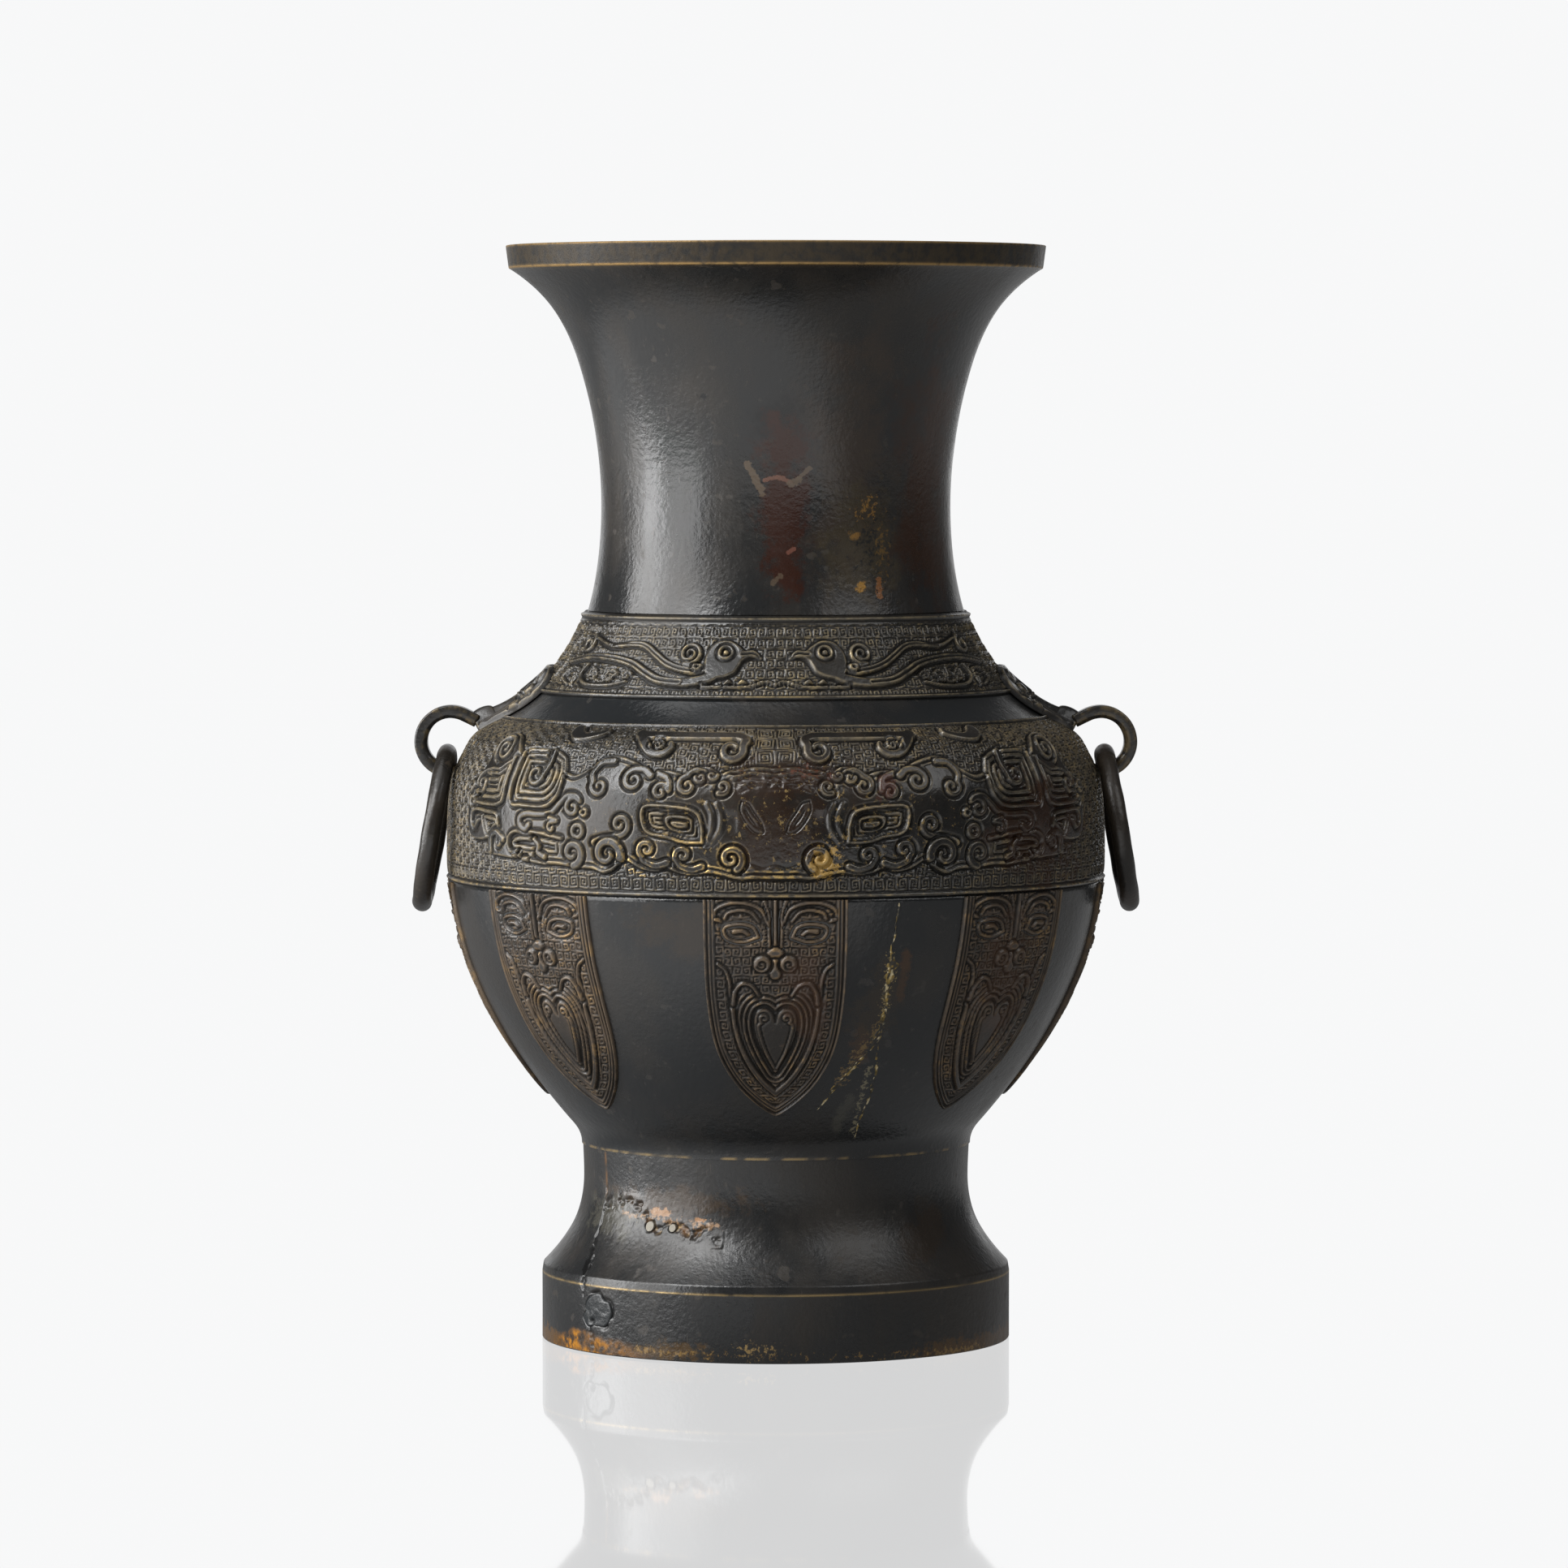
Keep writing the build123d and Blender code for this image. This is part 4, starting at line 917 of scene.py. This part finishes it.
for line_drawn, half in (
    (drawn([
        (25.4, 28.6), (22, 31.6), (20.4, 38), (20.0, 48), (19.0, 60), (16.2, 71), (11.6, 80.5), (6, 88),
        (0, 93.4),
    ]), (0.8, 1.9)),
    (drawn([(7.4, 43), (10.6, 38.4), (15.0, 37.4), (18.2, 41), (19.4, 47)]), (0.8, 1.3)),
    (drawn([(0, 0.5), (0, 21)], 2.0), (1.0, 1.0)),
    (drawn([(-0.5, 24.6), (0.5, 24.6)]), (3.6, 3.6)),
    (drawn([(0, 29.5), (0.1, 33)]), (3.4, 2.6)),
    (drawn([(5.6, 28.3), (5.9, 28.4)]), (3.9, 3.9)),
    (drawn([(3, 11.4), (6, 5), (12, 2.2), (19, 2), (25, 4.6), (26.4, 8.4), (23.4, 9.6)]), (0.8, 1.0)),
    (drawn([(7, 9.8), (10.4, 6), (15, 5), (20, 6.2), (21.6, 8.6)]), (0.7, 0.9)),
    (drawn([(11.6, 15.6), (14, 14), (17.6, 14.2)]), (0.8, 1.3)),
):
    relief = moulded(relief, strap(u, v, line_drawn, half), 0.45, 0.9)
thread(relief, u, v, eye, 0.5, 0.6)
thread(relief, u, v, scroll(5.9, 28.5, 2.3, 30, 1.2), -0.4, 0.5)
thread(relief, u, v, drawn([(2.7, 21), (2.7, 8), (4.6, 1)]), 0.4, 0.5)
edge_threads = ((0.8, 0.75), (2.8, 0.5), (4.4, 0.5))
side_lines = sum(tall * np.exp(-((deep - at_deep) / 0.6) ** 2) for at_deep, tall in edge_threads)
relief = 1.6 * np.where(deep < 5.2, -0.35 + side_lines, relief) + blade_stand
relief[:, [0, -1]] = -0.4
blade_handling = 0.1 + 0.6 * step_up(lumps(across / 6 + 20, v / 6, 33), 0.6, 0.85)
one_blade = cast("one_blade", line, out, across / mask_radius, relief, blade_handling, 1.0, 0.4)
# Its near-black ground colour is dirt and painted shade in the hollows of the relief, and its pale crests are
# dust and painted highlight.
blade_patina = patina(
    "blade_patina", (0.0185, 0.015, 0.0118), (0.04, 0.027, 0.0165), (0.34, 0.22, 0.1),
    (0.0055, 0.0045, 0.0033), rough=0.29, crest_dust_and_highlight=(0.1, 0.07, 0.044), stains=[
        ((0.013, -0.13, 0.158), (0.01, 0.05, 0.026), (0.07, 0.036, 0.02), 0.7, 90.0, 0.35),
        ((0.099, -0.088, 0.165), (0.016, 0.05, 0.03), (0.062, 0.032, 0.017), 0.7, 80.0, 0.35),
    ],
)
tree = bpy.data.node_groups.new("blades_round_the_axis", "GeometryNodeTree")
tree.interface.new_socket("Places", in_out="INPUT", socket_type="NodeSocketGeometry")
blade_socket = tree.interface.new_socket("Blade", in_out="INPUT", socket_type="NodeSocketObject")
finish_socket = tree.interface.new_socket("Finish", in_out="INPUT", socket_type="NodeSocketMaterial")
tree.interface.new_socket("Blades", in_out="OUTPUT", socket_type="NodeSocketGeometry")
given = tree.nodes.new("NodeGroupInput")
given_out = tree.nodes.new("NodeGroupOutput")
shown = tree.nodes.new("GeometryNodeObjectInfo")
turn = tree.nodes.new("GeometryNodeInputNamedAttribute")
turn.data_type = "FLOAT"
turn.inputs["Name"].default_value = "turn"
about_axis = tree.nodes.new("ShaderNodeCombineXYZ")
copies = tree.nodes.new("GeometryNodeInstanceOnPoints")
real = tree.nodes.new("GeometryNodeRealizeInstances")
painted = tree.nodes.new("GeometryNodeSetMaterial")
tree.links.new(given.outputs["Places"], copies.inputs["Points"])
tree.links.new(given.outputs["Blade"], shown.inputs["Object"])
tree.links.new(shown.outputs["Geometry"], copies.inputs["Instance"])
tree.links.new(turn.outputs["Attribute"], about_axis.inputs["Z"])
tree.links.new(about_axis.outputs["Vector"], copies.inputs["Rotation"])
tree.links.new(copies.outputs["Instances"], real.inputs["Geometry"])
tree.links.new(real.outputs["Geometry"], painted.inputs["Geometry"])
tree.links.new(given.outputs["Finish"], painted.inputs["Material"])
tree.links.new(painted.outputs["Geometry"], given_out.inputs["Blades"])
for name, turns in blade_turns.items():
    mesh = bpy.data.meshes.new(name + "_places")
    mesh.from_pydata([(0, 0, 0)] * len(turns), [], [])
    layer = mesh.attributes.new("turn", "FLOAT", "POINT")
    layer.data.foreach_set("value", np.radians(turns).astype(np.float32))
    blades = bpy.data.objects.new(name, mesh)
    bpy.context.scene.collection.objects.link(blades)
    repeat = blades.modifiers.new("repeat", "NODES")
    repeat.node_group = tree
    repeat[blade_socket.identifier] = one_blade
    repeat[finish_socket.identifier] = blade_patina
    bpy.context.view_layer.update()
    repeated = blades.evaluated_get(bpy.context.evaluated_depsgraph_get())
    plain_mesh = bpy.data.meshes.new_from_object(repeated)
    blades.modifiers.remove(repeat)
    blades.data = plain_mesh
    blades.data.name = name
    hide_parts("belly")
    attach(blades, "vessel")
bpy.data.objects.remove(one_blade)

# Crack solder: a ragged seam of soft solder and green corrosion, run into the crack down the front right of
# the belly. It stands a little proud of the wall and is rubbed pale in places.
crack_runs = {
    "crack_solder": [
        (21.5, 200), (21.4, 194), (20.8, 181), (21.1, 172), (20.7, 160), (21.2, 156), (21.0, 150),
        (20.4, 142), (19.0, 135), (16.6, 128), (14.6, 122), (12.1, 114), (10.5, 109),
    ],
    "crack_branch": [(20.6, 141), (21.2, 133), (22.2, 125), (22.6, 116), (22.1, 104), (21.8, 95)],
}
crack_half_width = {
    "crack_solder": [
        (109, 0.4), (118, 1.1), (124, 1.8), (134, 1.7), (142, 1.9), (152, 1.7), (157, 0.4), (161, 2.4),
        (168, 3.2), (175, 2.4), (180, 0.5), (200, 0.35),
    ],
    "crack_branch": [(95, 0.5), (112, 0.8), (126, 1.0), (141, 0.6)],
}
crack_columns = np.linspace(-1, 1, 21)[None, :]
ground_line, ground_out, _ = evened(smooth_line(ground[:4], 0.0005), 0.0005)
crack_pieces = []
for name, places in crack_runs.items():
    path = drawn(places[::-1], 0.45)
    height = path[:, 1:]
    line, out = placed(height[:, 0] / 1000, ground_line[:, 1], ground_line, ground_out)
    wide = np.interp(height, *np.array(crack_half_width[name]).T)
    wide = wide * (0.35 + 1.1 * lumps(height / 1.7, 0 * height, 3))
    across = 1.2 * (lumps(height / 6, 0 * height + 9, 5) - 0.5) + crack_columns * wide
    crumbs = 0.6 * lumps(height / 1.0, across / 0.9 + 20, 6) + 0.4 * lumps(height / 2.6, across / 2.2 + 40, 7)
    proud = 0.85 * (crumbs - 0.3) * (1 - crack_columns**4) - 0.3 * crack_columns**6
    wear = step_up(lumps(height / 0.9, across / 0.8 + 60, 8), 0.7, 0.82)
    stain_and_shade = step_up(lumps(height / 1.2, across / 1.0 + 80, 9), 0.42, 0.66)
    r, z = (line[:, k:k + 1] + out[:, k:k + 1] * proud / 1000 for k in (0, 1))
    angle = np.radians(path[:, :1]) + across / 1000 / r
    crack_pieces.append(sheet(name, round_axis(r, angle, z), False, [("wear", wear), ("stain_and_shade", stain_and_shade)]))
crack_patina = patina(
    "crack_patina", (0.018, 0.016, 0.012), (0.046, 0.036, 0.018), (0.7, 0.6, 0.38), (0.3, 0.21, 0.065),
    rough=0.5, patchy=(0.62, 0.9),
)
for crack in crack_pieces:
    crack.data.materials.append(crack_patina)
    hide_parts("belly_crack_solder")
    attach(crack, "vessel")

# Foot: the spreading foot ring with its tall standing band, one bronze casting; the belly's spigot stands in
# its top. Front left it has a casting flaw and a crack. Its arris is worn yellow, and its lower edge is
# orange with corrosion.
foot_r = 0.103
foot_arris = 0.0293
foot_inner_r = 0.098
foot_seat = 0.0885
foot_unrolled = 88
foot_cove = [(0.1024, 0.033, -45), (0.0903, 0.0485, -30), (0.0846, 0.072, 0), (0.0852, foot_seat, 2)]
foot_inside = [(0.0806, 0.06, -4), (0.0868, 0.0465, -30), (foot_inner_r, 0.0285, -15)]
foot_outer = np.vstack([[(foot_r, 0.0004), (foot_r, foot_arris)], smooth_line(foot_cove, 0.0005)])
foot_outer = evened(foot_outer, 0.0005)[0]
foot_line = np.vstack([
    foot_outer,
    [(0.0849, foot_seat), (0.0812, foot_seat), (0.0812, 0.073), (0.0752, 0.073), (0.0752, 0.066)],
    smooth_line(foot_inside, 0.004),
    [(foot_inner_r, 0.014), (foot_inner_r, 0.0003), (0.0983, 0.0), (0.1027, 0.0), (foot_r, 0.0004)],
])
turn = np.r_[np.arange(-70, -10, 0.3), np.arange(-10, 290, 1.25)][None, :]
angle = np.radians(turn)
along = angle * foot_unrolled
height = foot_line[:, 1:] * 1000 + 0 * along
along = along + 0 * height
outside = (np.arange(len(foot_line)) < len(foot_outer))[:, None]
grit = lumps(along / 1.4, height / 1.4, 11)
knots = lumps(along / 3.4, height / 3.0, 12)
flaw = drawn([
    (-91.7, 60.6), (-81.4, 64), (-72.2, 65.4), (-64.5, 62), (-60.7, 58), (-55.3, 54), (-49.1, 57),
    (-43, 55.4), (-36.9, 53.6), (-31.6, 55), (-25.3, 51),
])
split = drawn([
    (-93.6, 88), (-92.6, 66), (-92.6, 47.4), (-88, 43), (-85.3, 39.1), (-83.4, 35), (-83.6, 29.9),
    (-82.9, 24.6),
])
split_low = drawn([(-79.5, 12), (-78, 7), (-77.2, 3), (-76, 0)])
flaw_far = -strap(along, height, flaw, (0, 0))
split_far = np.minimum(-strap(along, height, split, (0, 0)), -strap(along, height, split_low, (0, 0)))
stray = 2.6 * (lumps(along / 3.0, height / 3.0, 17) - 0.5)
stray = stray + 1.4 * (lumps(along / 1.1, height / 1.1, 18) - 0.5)
crevice = np.exp(-((flaw_far + stray) / (0.5 + 1.2 * knots)) ** 2) * step_up(grit + knots, 0.6, 1.1)
lip_round = np.exp(-((flaw_far - 2.4) / 1.6) ** 2) * knots
torn = np.exp(-((split_far + 0.5 * stray) / (0.25 + 0.5 * grit)) ** 2) * step_up(72 - height, 0, 6)
patch = np.exp(-((along + 64) / 32) ** 2 - ((height - 57) / 9) ** 2)
dents = ripple(angle, height / 1000, casting_uneven)
sunk = 0.0011 * crevice - 0.0004 * lip_round + 0.0008 * torn + 0.0005 * patch * (grit * knots - 0.25)
dents = dents - outside * sunk
arris = 0.85 * np.exp(-((height - 29.4) / 0.34) ** 2) * step_up(lumps(along / 14, height / 9, 13), 0.05, 0.4)
wear = outside * np.maximum(arris, 0.4 * crevice * step_up(grit, 0.7, 0.9))
reach = 4.2 + 4.6 * np.exp(-((turn + 53) / 9) ** 2) + 2.0 * lumps(along / 9, 0 * height, 14)
crust = step_up(reach + 1.5 - height, 0, 4.5) * (0.3 + 0.7 * step_up(grit + knots, 0.7, 1.15))
crust = crust * np.exp(-((turn + 54) / np.where(turn < -54, 40, 15)) ** 2)
dusty = 0.25 * np.exp(-(split_far / 0.8) ** 2) * step_up(height, 60, 66)
flaw_dust = 0.35 * np.exp(-(flaw_far / 1.6) ** 2) * step_up(knots, 0.5, 0.8)
stain_and_shade = outside * np.maximum(crust, np.maximum(dusty, flaw_dust))
plug_at = (-49.0, 18.6)
plug_size = (8.6, 7.6)
plug_u, plug_v = np.radians(turn - plug_at[0]) * foot_r * 1000, height - plug_at[1]
plug_edge = np.hypot(plug_u / plug_size[0], plug_v / plug_size[1])
plug_around = np.arctan2(plug_v, plug_u)
plug_edge = plug_edge / (0.8 + 0.42 * lumps(plug_around * 2.2 + 20, 0 * plug_v, 15))
gape = np.exp(-((plug_edge - 1.05) / 0.1) ** 2)
gape = gape * np.maximum(step_up(plug_v, 1, 4), 0.5 * step_up(plug_u, 2, 5))
sunk = 0.0012 * step_up(0.99 - plug_edge, 0, 0.08) + 0.0012 * gape * step_up(knots, 0.25, 0.5)
dents = dents - outside * sunk
small_plugs = ((-38.7, 2.2), (-30.8, 1.7))
small_plug_z, small_plug_wall = 55.5, 87.5
for plug_turn, plug_r in small_plugs:
    plug_far = np.hypot(np.radians(turn - plug_turn) * small_plug_wall, height - small_plug_z)
    dents = dents - outside * 0.0009 * step_up(plug_r + 0.7 - plug_far, 0, 0.7)
foot = sheet("foot", turned(foot_line, angle, dents), True, [("wear", wear), ("stain_and_shade", stain_and_shade)])
black, salmon = (0.0025, 0.0025, 0.0025), (0.34, 0.2, 0.1)
split_run = [
    (-0.0735, -0.0424, 0.066), (-0.078, -0.0448, 0.0474), (-0.0808, -0.0554, 0.0391),
    (-0.0828, -0.0596, 0.035), (-0.0833, -0.0606, 0.0246), (-0.0772, -0.0682, 0.026),
    (-0.0724, -0.0732, 0.0214),
]
split_marks = ((0.0009, 0.6), (0.0013, 0.95), (0.0016, 0.95), (0.0011, 0.95), (0.0011, 0.95), (0.001, 0.8))
split_stains = [
    stroke(start, end, wide, black, much, 260.0, 0.2)
    for start, end, (wide, much) in zip(split_run, split_run[1:], split_marks)
]
foot_patina = patina(
    "foot_patina", (0.0145, 0.015, 0.0155), (0.024, 0.02, 0.016), (0.46, 0.33, 0.15),
    (0.46, 0.19, 0.015), rough=0.28, patchy=(0.6, 1.0), stains=[
        ((-0.048, -0.07, 0.067), (0.038, 0.05, 0.008), (0.046, 0.029, 0.016), 0.8, 110.0, 0.4),
        ((-0.072, -0.056, 0.058), (0.014, 0.05, 0.01), (0.07, 0.066, 0.052), 0.7, 160.0, 0.3),
        ((-0.05, -0.075, 0.062), (0.006, 0.05, 0.0022), (0.38, 0.2, 0.085), 0.8, 260.0, 0.12),
        ((-0.033, -0.082, 0.0595), (0.003, 0.05, 0.0014), (0.4, 0.19, 0.065), 0.8, 260.0, 0.12),
        ((0.064, -0.062, 0.052), (0.012, 0.05, 0.014), (0.026, 0.016, 0.008), 0.8, 80.0, 0.4),
        *split_stains,
        ((-0.044, -0.093, 0.0045), (0.018, 0.08, 0.005), (0.075, 0.04, 0.01), 0.8, 260.0, 0.3),
        (
            ((-0.103, 0.01, 0.003), (-0.099, -0.03, 0.003)), (0.008, 0.03, 0.0062),
            (0.1, 0.048, 0.01), 0.9, 200.0, 0.25,
        ),
        (
            ((0.074, -0.072, 0.002), (0.102, -0.01, 0.003)), (0.016, 0.03, 0.006),
            (0.09, 0.046, 0.012), 0.8, 220.0, 0.25,
        ),
    ], flecks=[
        (
            ((-0.06, -0.08, 0.004), (0.088, -0.06, 0.0015)), (0.008, 0.08, 0.0052),
            (0.26, 0.155, 0.045), 0.85, 480.0, 0.2,
        ),
        ((-0.01, -0.105, 0.006), (0.024, 0.08, 0.0085), (0.3, 0.2, 0.075), 0.85, 520.0, 0.16),
        stroke((-0.066, -0.055, 0.06), (-0.025, -0.083, 0.057), 0.005, salmon, 0.8, 420.0, 0.16, 0.05),
    ],
)
foot.data.materials.append(foot_patina)
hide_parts("foot")
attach(foot, "vessel")

# Band plug: a grey lump of repair metal run into the ragged hole in the standing band, where the foot is
# sunk under it. Its face is rubbed nearly flush and has one small hole of its own.
plug_rings, plug_spokes = 13, 56
plug_rim_in = -2.4
spoke = np.linspace(0, 2 * math.pi, plug_spokes, endpoint=False)[None, :]
ring = np.r_[1.0, np.linspace(1.0, 0.02, plug_rings)][:, None]
half_turns = np.where(spoke > math.pi, spoke - 2 * math.pi, spoke)
edge = (0.8 + 0.42 * lumps(half_turns * 2.2 + 20, 0 * spoke, 15)) * ring
knobs = lumps(5 + 4 * edge * np.cos(spoke), 5 + 4 * edge * np.sin(spoke), 16)
face = 0.05 - 0.12 * step_up(ring, 0.94, 1.0) + 0.14 * (knobs - 0.5)
plug_hole = np.hypot(plug_size[0] * edge * np.cos(spoke) + 2.7, plug_size[1] * edge * np.sin(spoke) + 4.5)
face = face - 1.2 * np.exp(-(plug_hole / 1.1) ** 2)
face[0] = plug_rim_in
r = foot_r + face / 1000
angle = math.radians(plug_at[0]) + plug_size[0] * edge * np.cos(spoke) / 1000 / foot_r
z = (plug_at[1] + plug_size[1] * edge * np.sin(spoke)) / 1000
# Painted shade: the plug's rim and its small hole take the near-black ground colour.
stain_and_shade = np.maximum(0.3 * step_up(ring, 0.94, 1.0) + 0 * spoke, np.exp(-(plug_hole / 1.3) ** 2))
band_plug = sheet("band_plug", round_axis(r, angle, z), True, [("stain_and_shade", stain_and_shade)])
# Its near-black ground colour is a painted shade at the rim and in the hole.
plug_patina = patina(
    "plug_patina", (0.018, 0.021, 0.023), (0.03, 0.03, 0.029), (0.3, 0.24, 0.14), (0.004, 0.004, 0.004),
    rough=0.26,
)
band_plug.data.materials.append(plug_patina)
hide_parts("foot_band_plug")
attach(band_plug, "vessel")

# Small plugs: two pale drops of soft metal in round holes in the flaw of the foot, dull and uneven in tone.
# The foot is hollowed round them.
pale_patina = patina(
    "pale_plugs", (0.2, 0.18, 0.14), (0.36, 0.32, 0.25), (0.5, 0.45, 0.35), (0.1, 0.08, 0.05), rough=0.5,
)
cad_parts["foot_neck_plugs"].material_slots[0].material = pale_patina

# Base plate: the plain bronze disc that closes the vessel, let in on the ledge inside the foot under the
# belly's spigot. It is dull and dusty underneath.
plate_patina = patina(
    "base_plate_patina", (0.02, 0.018, 0.014), (0.045, 0.034, 0.02), (0.3, 0.2, 0.1), (0.08, 0.06, 0.03),
    rough=0.5,
)
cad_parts["base_plate"].material_slots[0].material = plate_patina

# Masks: a bronze beast mask on each side of the shoulder, cast apart and soldered and pinned on over the
# bird band. Curled horns, round eyes, brows and ears stand out from the plate, and a rounded snout runs
# down to the loop.
mask_tall = 44.0
mask_top = 0.295
mask_rows, mask_cols = 132, 151
mask_sides = [(14, 0), (22, 4), (25, 12), (22, 22), (14, 32), (9.5, 42), (8, 44)]
plate_edge, plate_face = 1.05, 3.3
ridge = [(0, 3.3), (8, 4.3), (25, 5.6), (34, 6.6), (44, 7.4)]
side = drawn(mask_sides)
line, out, length = evened(smooth_line(ground[7:], 0.0005), 0.0002)
run = np.linspace(0, length, len(line))
top = np.interp(mask_top, line[:, 1], run)
down = np.linspace(mask_tall, 0, mask_rows)[:, None]
line, out = placed(top - down[:, 0] / 1000, run, line, out)
wide = np.interp(down, side[:, 1], side[:, 0])
across = np.linspace(-1, 1, mask_cols)[None, :] * wide
u, v = abs(across), down + 0 * across
deep = np.minimum(wide - u, np.minimum(v + 0.4, mask_tall + 0.4 - v))
relief = plate_face + 0 * u
for line_drawn, half, rise in (
    (scroll(13.2, 7.0, 4.6, 150, 1.2, core=0.2, tail=[(3.6, 18.5), (4.0, 12), (6.0, 6.6)]), (2.2, 1.2), 0.9),
    (drawn([(3.6, 20.4), (9, 19.2), (15.4, 20), (21, 16.6)]), (0.9, 0.8), 0.7),
    (scroll(15.6, 25.0, 2.9, 250, 1.1, core=0.25), (1.2, 0.8), 0.8),
    (drawn([(8.2, 23), (9.0, 28), (8.6, 34), (7.4, 41)]), (0.9, 0.8), 0.7),
):
    deep_in = strap(u, v, line_drawn, half)
    relief = relief + rise * step_up(deep_in, -0.2, 1.0) - 0.5 * np.exp(-((deep_in + 0.8) / 0.5) ** 2)
eye_far = np.hypot(u - 10.5, v - 14.3)
relief = relief + 1.9 * np.sqrt(np.clip(1 - (eye_far / 3.6) ** 2, 0, 1))
relief = relief - 0.6 * np.exp(-((eye_far - 4.3) / 0.6) ** 2)
nose = np.interp(v, *np.array(ridge).T) - plate_face
nose = nose + 1.9 * np.sqrt(np.clip(1 - ((v - 39.2) / 5.2) ** 2, 0, 1))
relief = relief + nose * np.exp(-(u / (4.2 + 1.0 * step_up(v, 30, 38))) ** 4)
relief = relief - 0.35 * np.exp(-((u - 2.0) / 0.35) ** 2) * step_up(v, 3, 6) * step_up(30 - v, 0, 4)
relief = plate_edge + (relief - plate_edge) * step_up(deep, 0, 1.5)
relief[:, [0, -1]] = 0.6
# Its near-black ground colour is dirt and painted shade in the hollows of the masks' relief, and its pale
# crests there are dust and painted highlight.
handle_patina = patina(
    "handle_patina", (0.0155, 0.015, 0.0145), (0.03, 0.024, 0.018), (0.34, 0.25, 0.12),
    (0.0085, 0.007, 0.005), rough=0.3,
)
for name, middle in (("right_mask", math.pi / 2), ("left_mask", -math.pi / 2)):
    angles = middle + across / 1000 / line[:, :1]
    mask = cast(name, line, out, angles, relief, 0.3, 1.0, -0.8)
    mask.data.materials.append(handle_patina)
    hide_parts(name)
    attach(mask, "vessel")

# Mask pins: two rough bronze pins a side, driven from inside through the shoulder wall into the mask, with
# their heads on flat seats inside the vessel.
pin_patina = patina(
    "pin_patina", (0.02, 0.017, 0.013), (0.04, 0.03, 0.018), (0.3, 0.2, 0.1), (0.06, 0.045, 0.025),
    rough=0.5,
)
for name in ("right_mask_pins", "left_mask_pins"):
    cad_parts[name].material_slots[0].material = pin_patina

# Loops: a flat bronze strap bent into an eye below each mask's snout, its tail run into the belly.
# The edges are chamfered, more on the inside where the ring wears.
loop_eye = (0.142935, 0.2625)
loop_radius = 0.0131
loop_bend = (115, -127)
loop_root = (0.1314, 0.2715)
loop_corners = [
    (-6, -1.3), (-4.6, -2.8), (4.6, -2.8), (6, -1.3), (6, 2.2), (5.4, 2.8), (-5.4, 2.8), (-6, 2.2),
]
bend = np.radians(np.linspace(*loop_bend, 84))
path = np.stack([loop_eye[0] + loop_radius * np.cos(bend), loop_eye[1] + loop_radius * np.sin(bend)], -1)
path = np.vstack([np.linspace(loop_root, path[0], 8)[:-1], path])
way = np.gradient(path, axis=0)
way /= np.linalg.norm(way, axis=1, keepdims=True)
up = np.stack([-way[:, 1], way[:, 0]], -1)
corners = np.array(loop_corners + loop_corners[:1], dtype=float) / 1000
section = cornered_line(corners, 0.0012, 0.00022)
corner_far = np.min([np.hypot(*(section - c).T) for c in corners], axis=0)
edge_wear = np.exp(-(corner_far / 0.0007) ** 2)
along, round_it = np.arange(len(path))[:, None], np.arange(len(section))[None, :]
knock = 1 + 0.035 * (lumps(along / 6, round_it / 5, 21) - 0.5)
reach = section[None, :, 1] * knock
depth = section[None, :, 0] * knock
for name, hand in (("right_loop", 1), ("left_loop", -1)):
    x = path[:, 0:1] + up[:, 0:1] * reach
    z = path[:, 1:2] + up[:, 1:2] * reach
    points = np.stack([hand * x, depth + 0 * x, z], -1)
    ends = [np.broadcast_to(p.mean(0), p.shape)[None] for p in (points[0], points[-1])]
    points = np.concatenate([ends[0], points, ends[1]])
    wear = np.broadcast_to(edge_wear * 0.45, points.shape[:2])
    if hand < 0:
        points = points[:, ::-1]
        wear = wear[:, ::-1]
    loop = sheet(name, points, True, [("wear", wear)])
    loop.data.materials.append(handle_patina)
    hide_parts(name)
    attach(loop, "vessel")

# Rings: a loose round ring of bronze rod in each loop, a little uneven from the hammer, hanging by its own
# weight. The right ring shows the joint where its rod was closed, just below the loop.
ring_centre = (0.150166, 0.224419)
ring_radius = 0.0332
ring_wire = 0.00415
ring_lean = math.radians(9.7)
ring_joint = math.radians(24)
ring_uneven = 0.00006
round_ring = np.linspace(0, 2 * math.pi, 193)[:, None]
round_wire = np.linspace(0, 2 * math.pi, 36, endpoint=False)[None, :]
ring_patina = patina(
    "ring_patina", (0.015, 0.0125, 0.01), (0.034, 0.024, 0.0155), (0.3, 0.21, 0.11),
    (0.046, 0.034, 0.02), rough=0.31,
)
for name, hand in (("right_ring", 1), ("left_ring", -1)):
    uneven = np.sin(5 * round_ring + hand) + np.sin(9 * round_ring + 2 * round_wire)
    uneven = uneven + np.sin(14 * round_ring - round_wire)
    wire = ring_wire + ring_uneven * uneven
    wear = 0.4 * step_up(np.cos(round_ring), 0.9, 1.0) * step_up(-np.cos(round_wire), 0.3, 0.9)
    if hand > 0:
        wire = wire + 0.00016 * step_up(np.cos(round_ring), math.cos(ring_joint + 0.03), math.cos(ring_joint))
        wire = wire - 0.0004 * np.exp(-((abs(np.pi - abs(np.pi - round_ring)) - ring_joint) / 0.016) ** 2)
    flat = ring_radius + wire * np.cos(round_wire)
    thick = wire * np.sin(round_wire)
    y = -hand * flat * np.sin(round_ring)
    up = flat * np.cos(round_ring)
    x = hand * (ring_centre[0] + thick * math.cos(ring_lean) - up * math.sin(ring_lean))
    z = ring_centre[1] + thick * math.sin(ring_lean) + up * math.cos(ring_lean)
    ring = sheet(name, np.stack([x, y, z], -1), True, [("wear", wear + 0 * x)])
    ring.data.materials.append(ring_patina)
    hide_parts(name)
    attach(ring, name)

low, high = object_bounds()
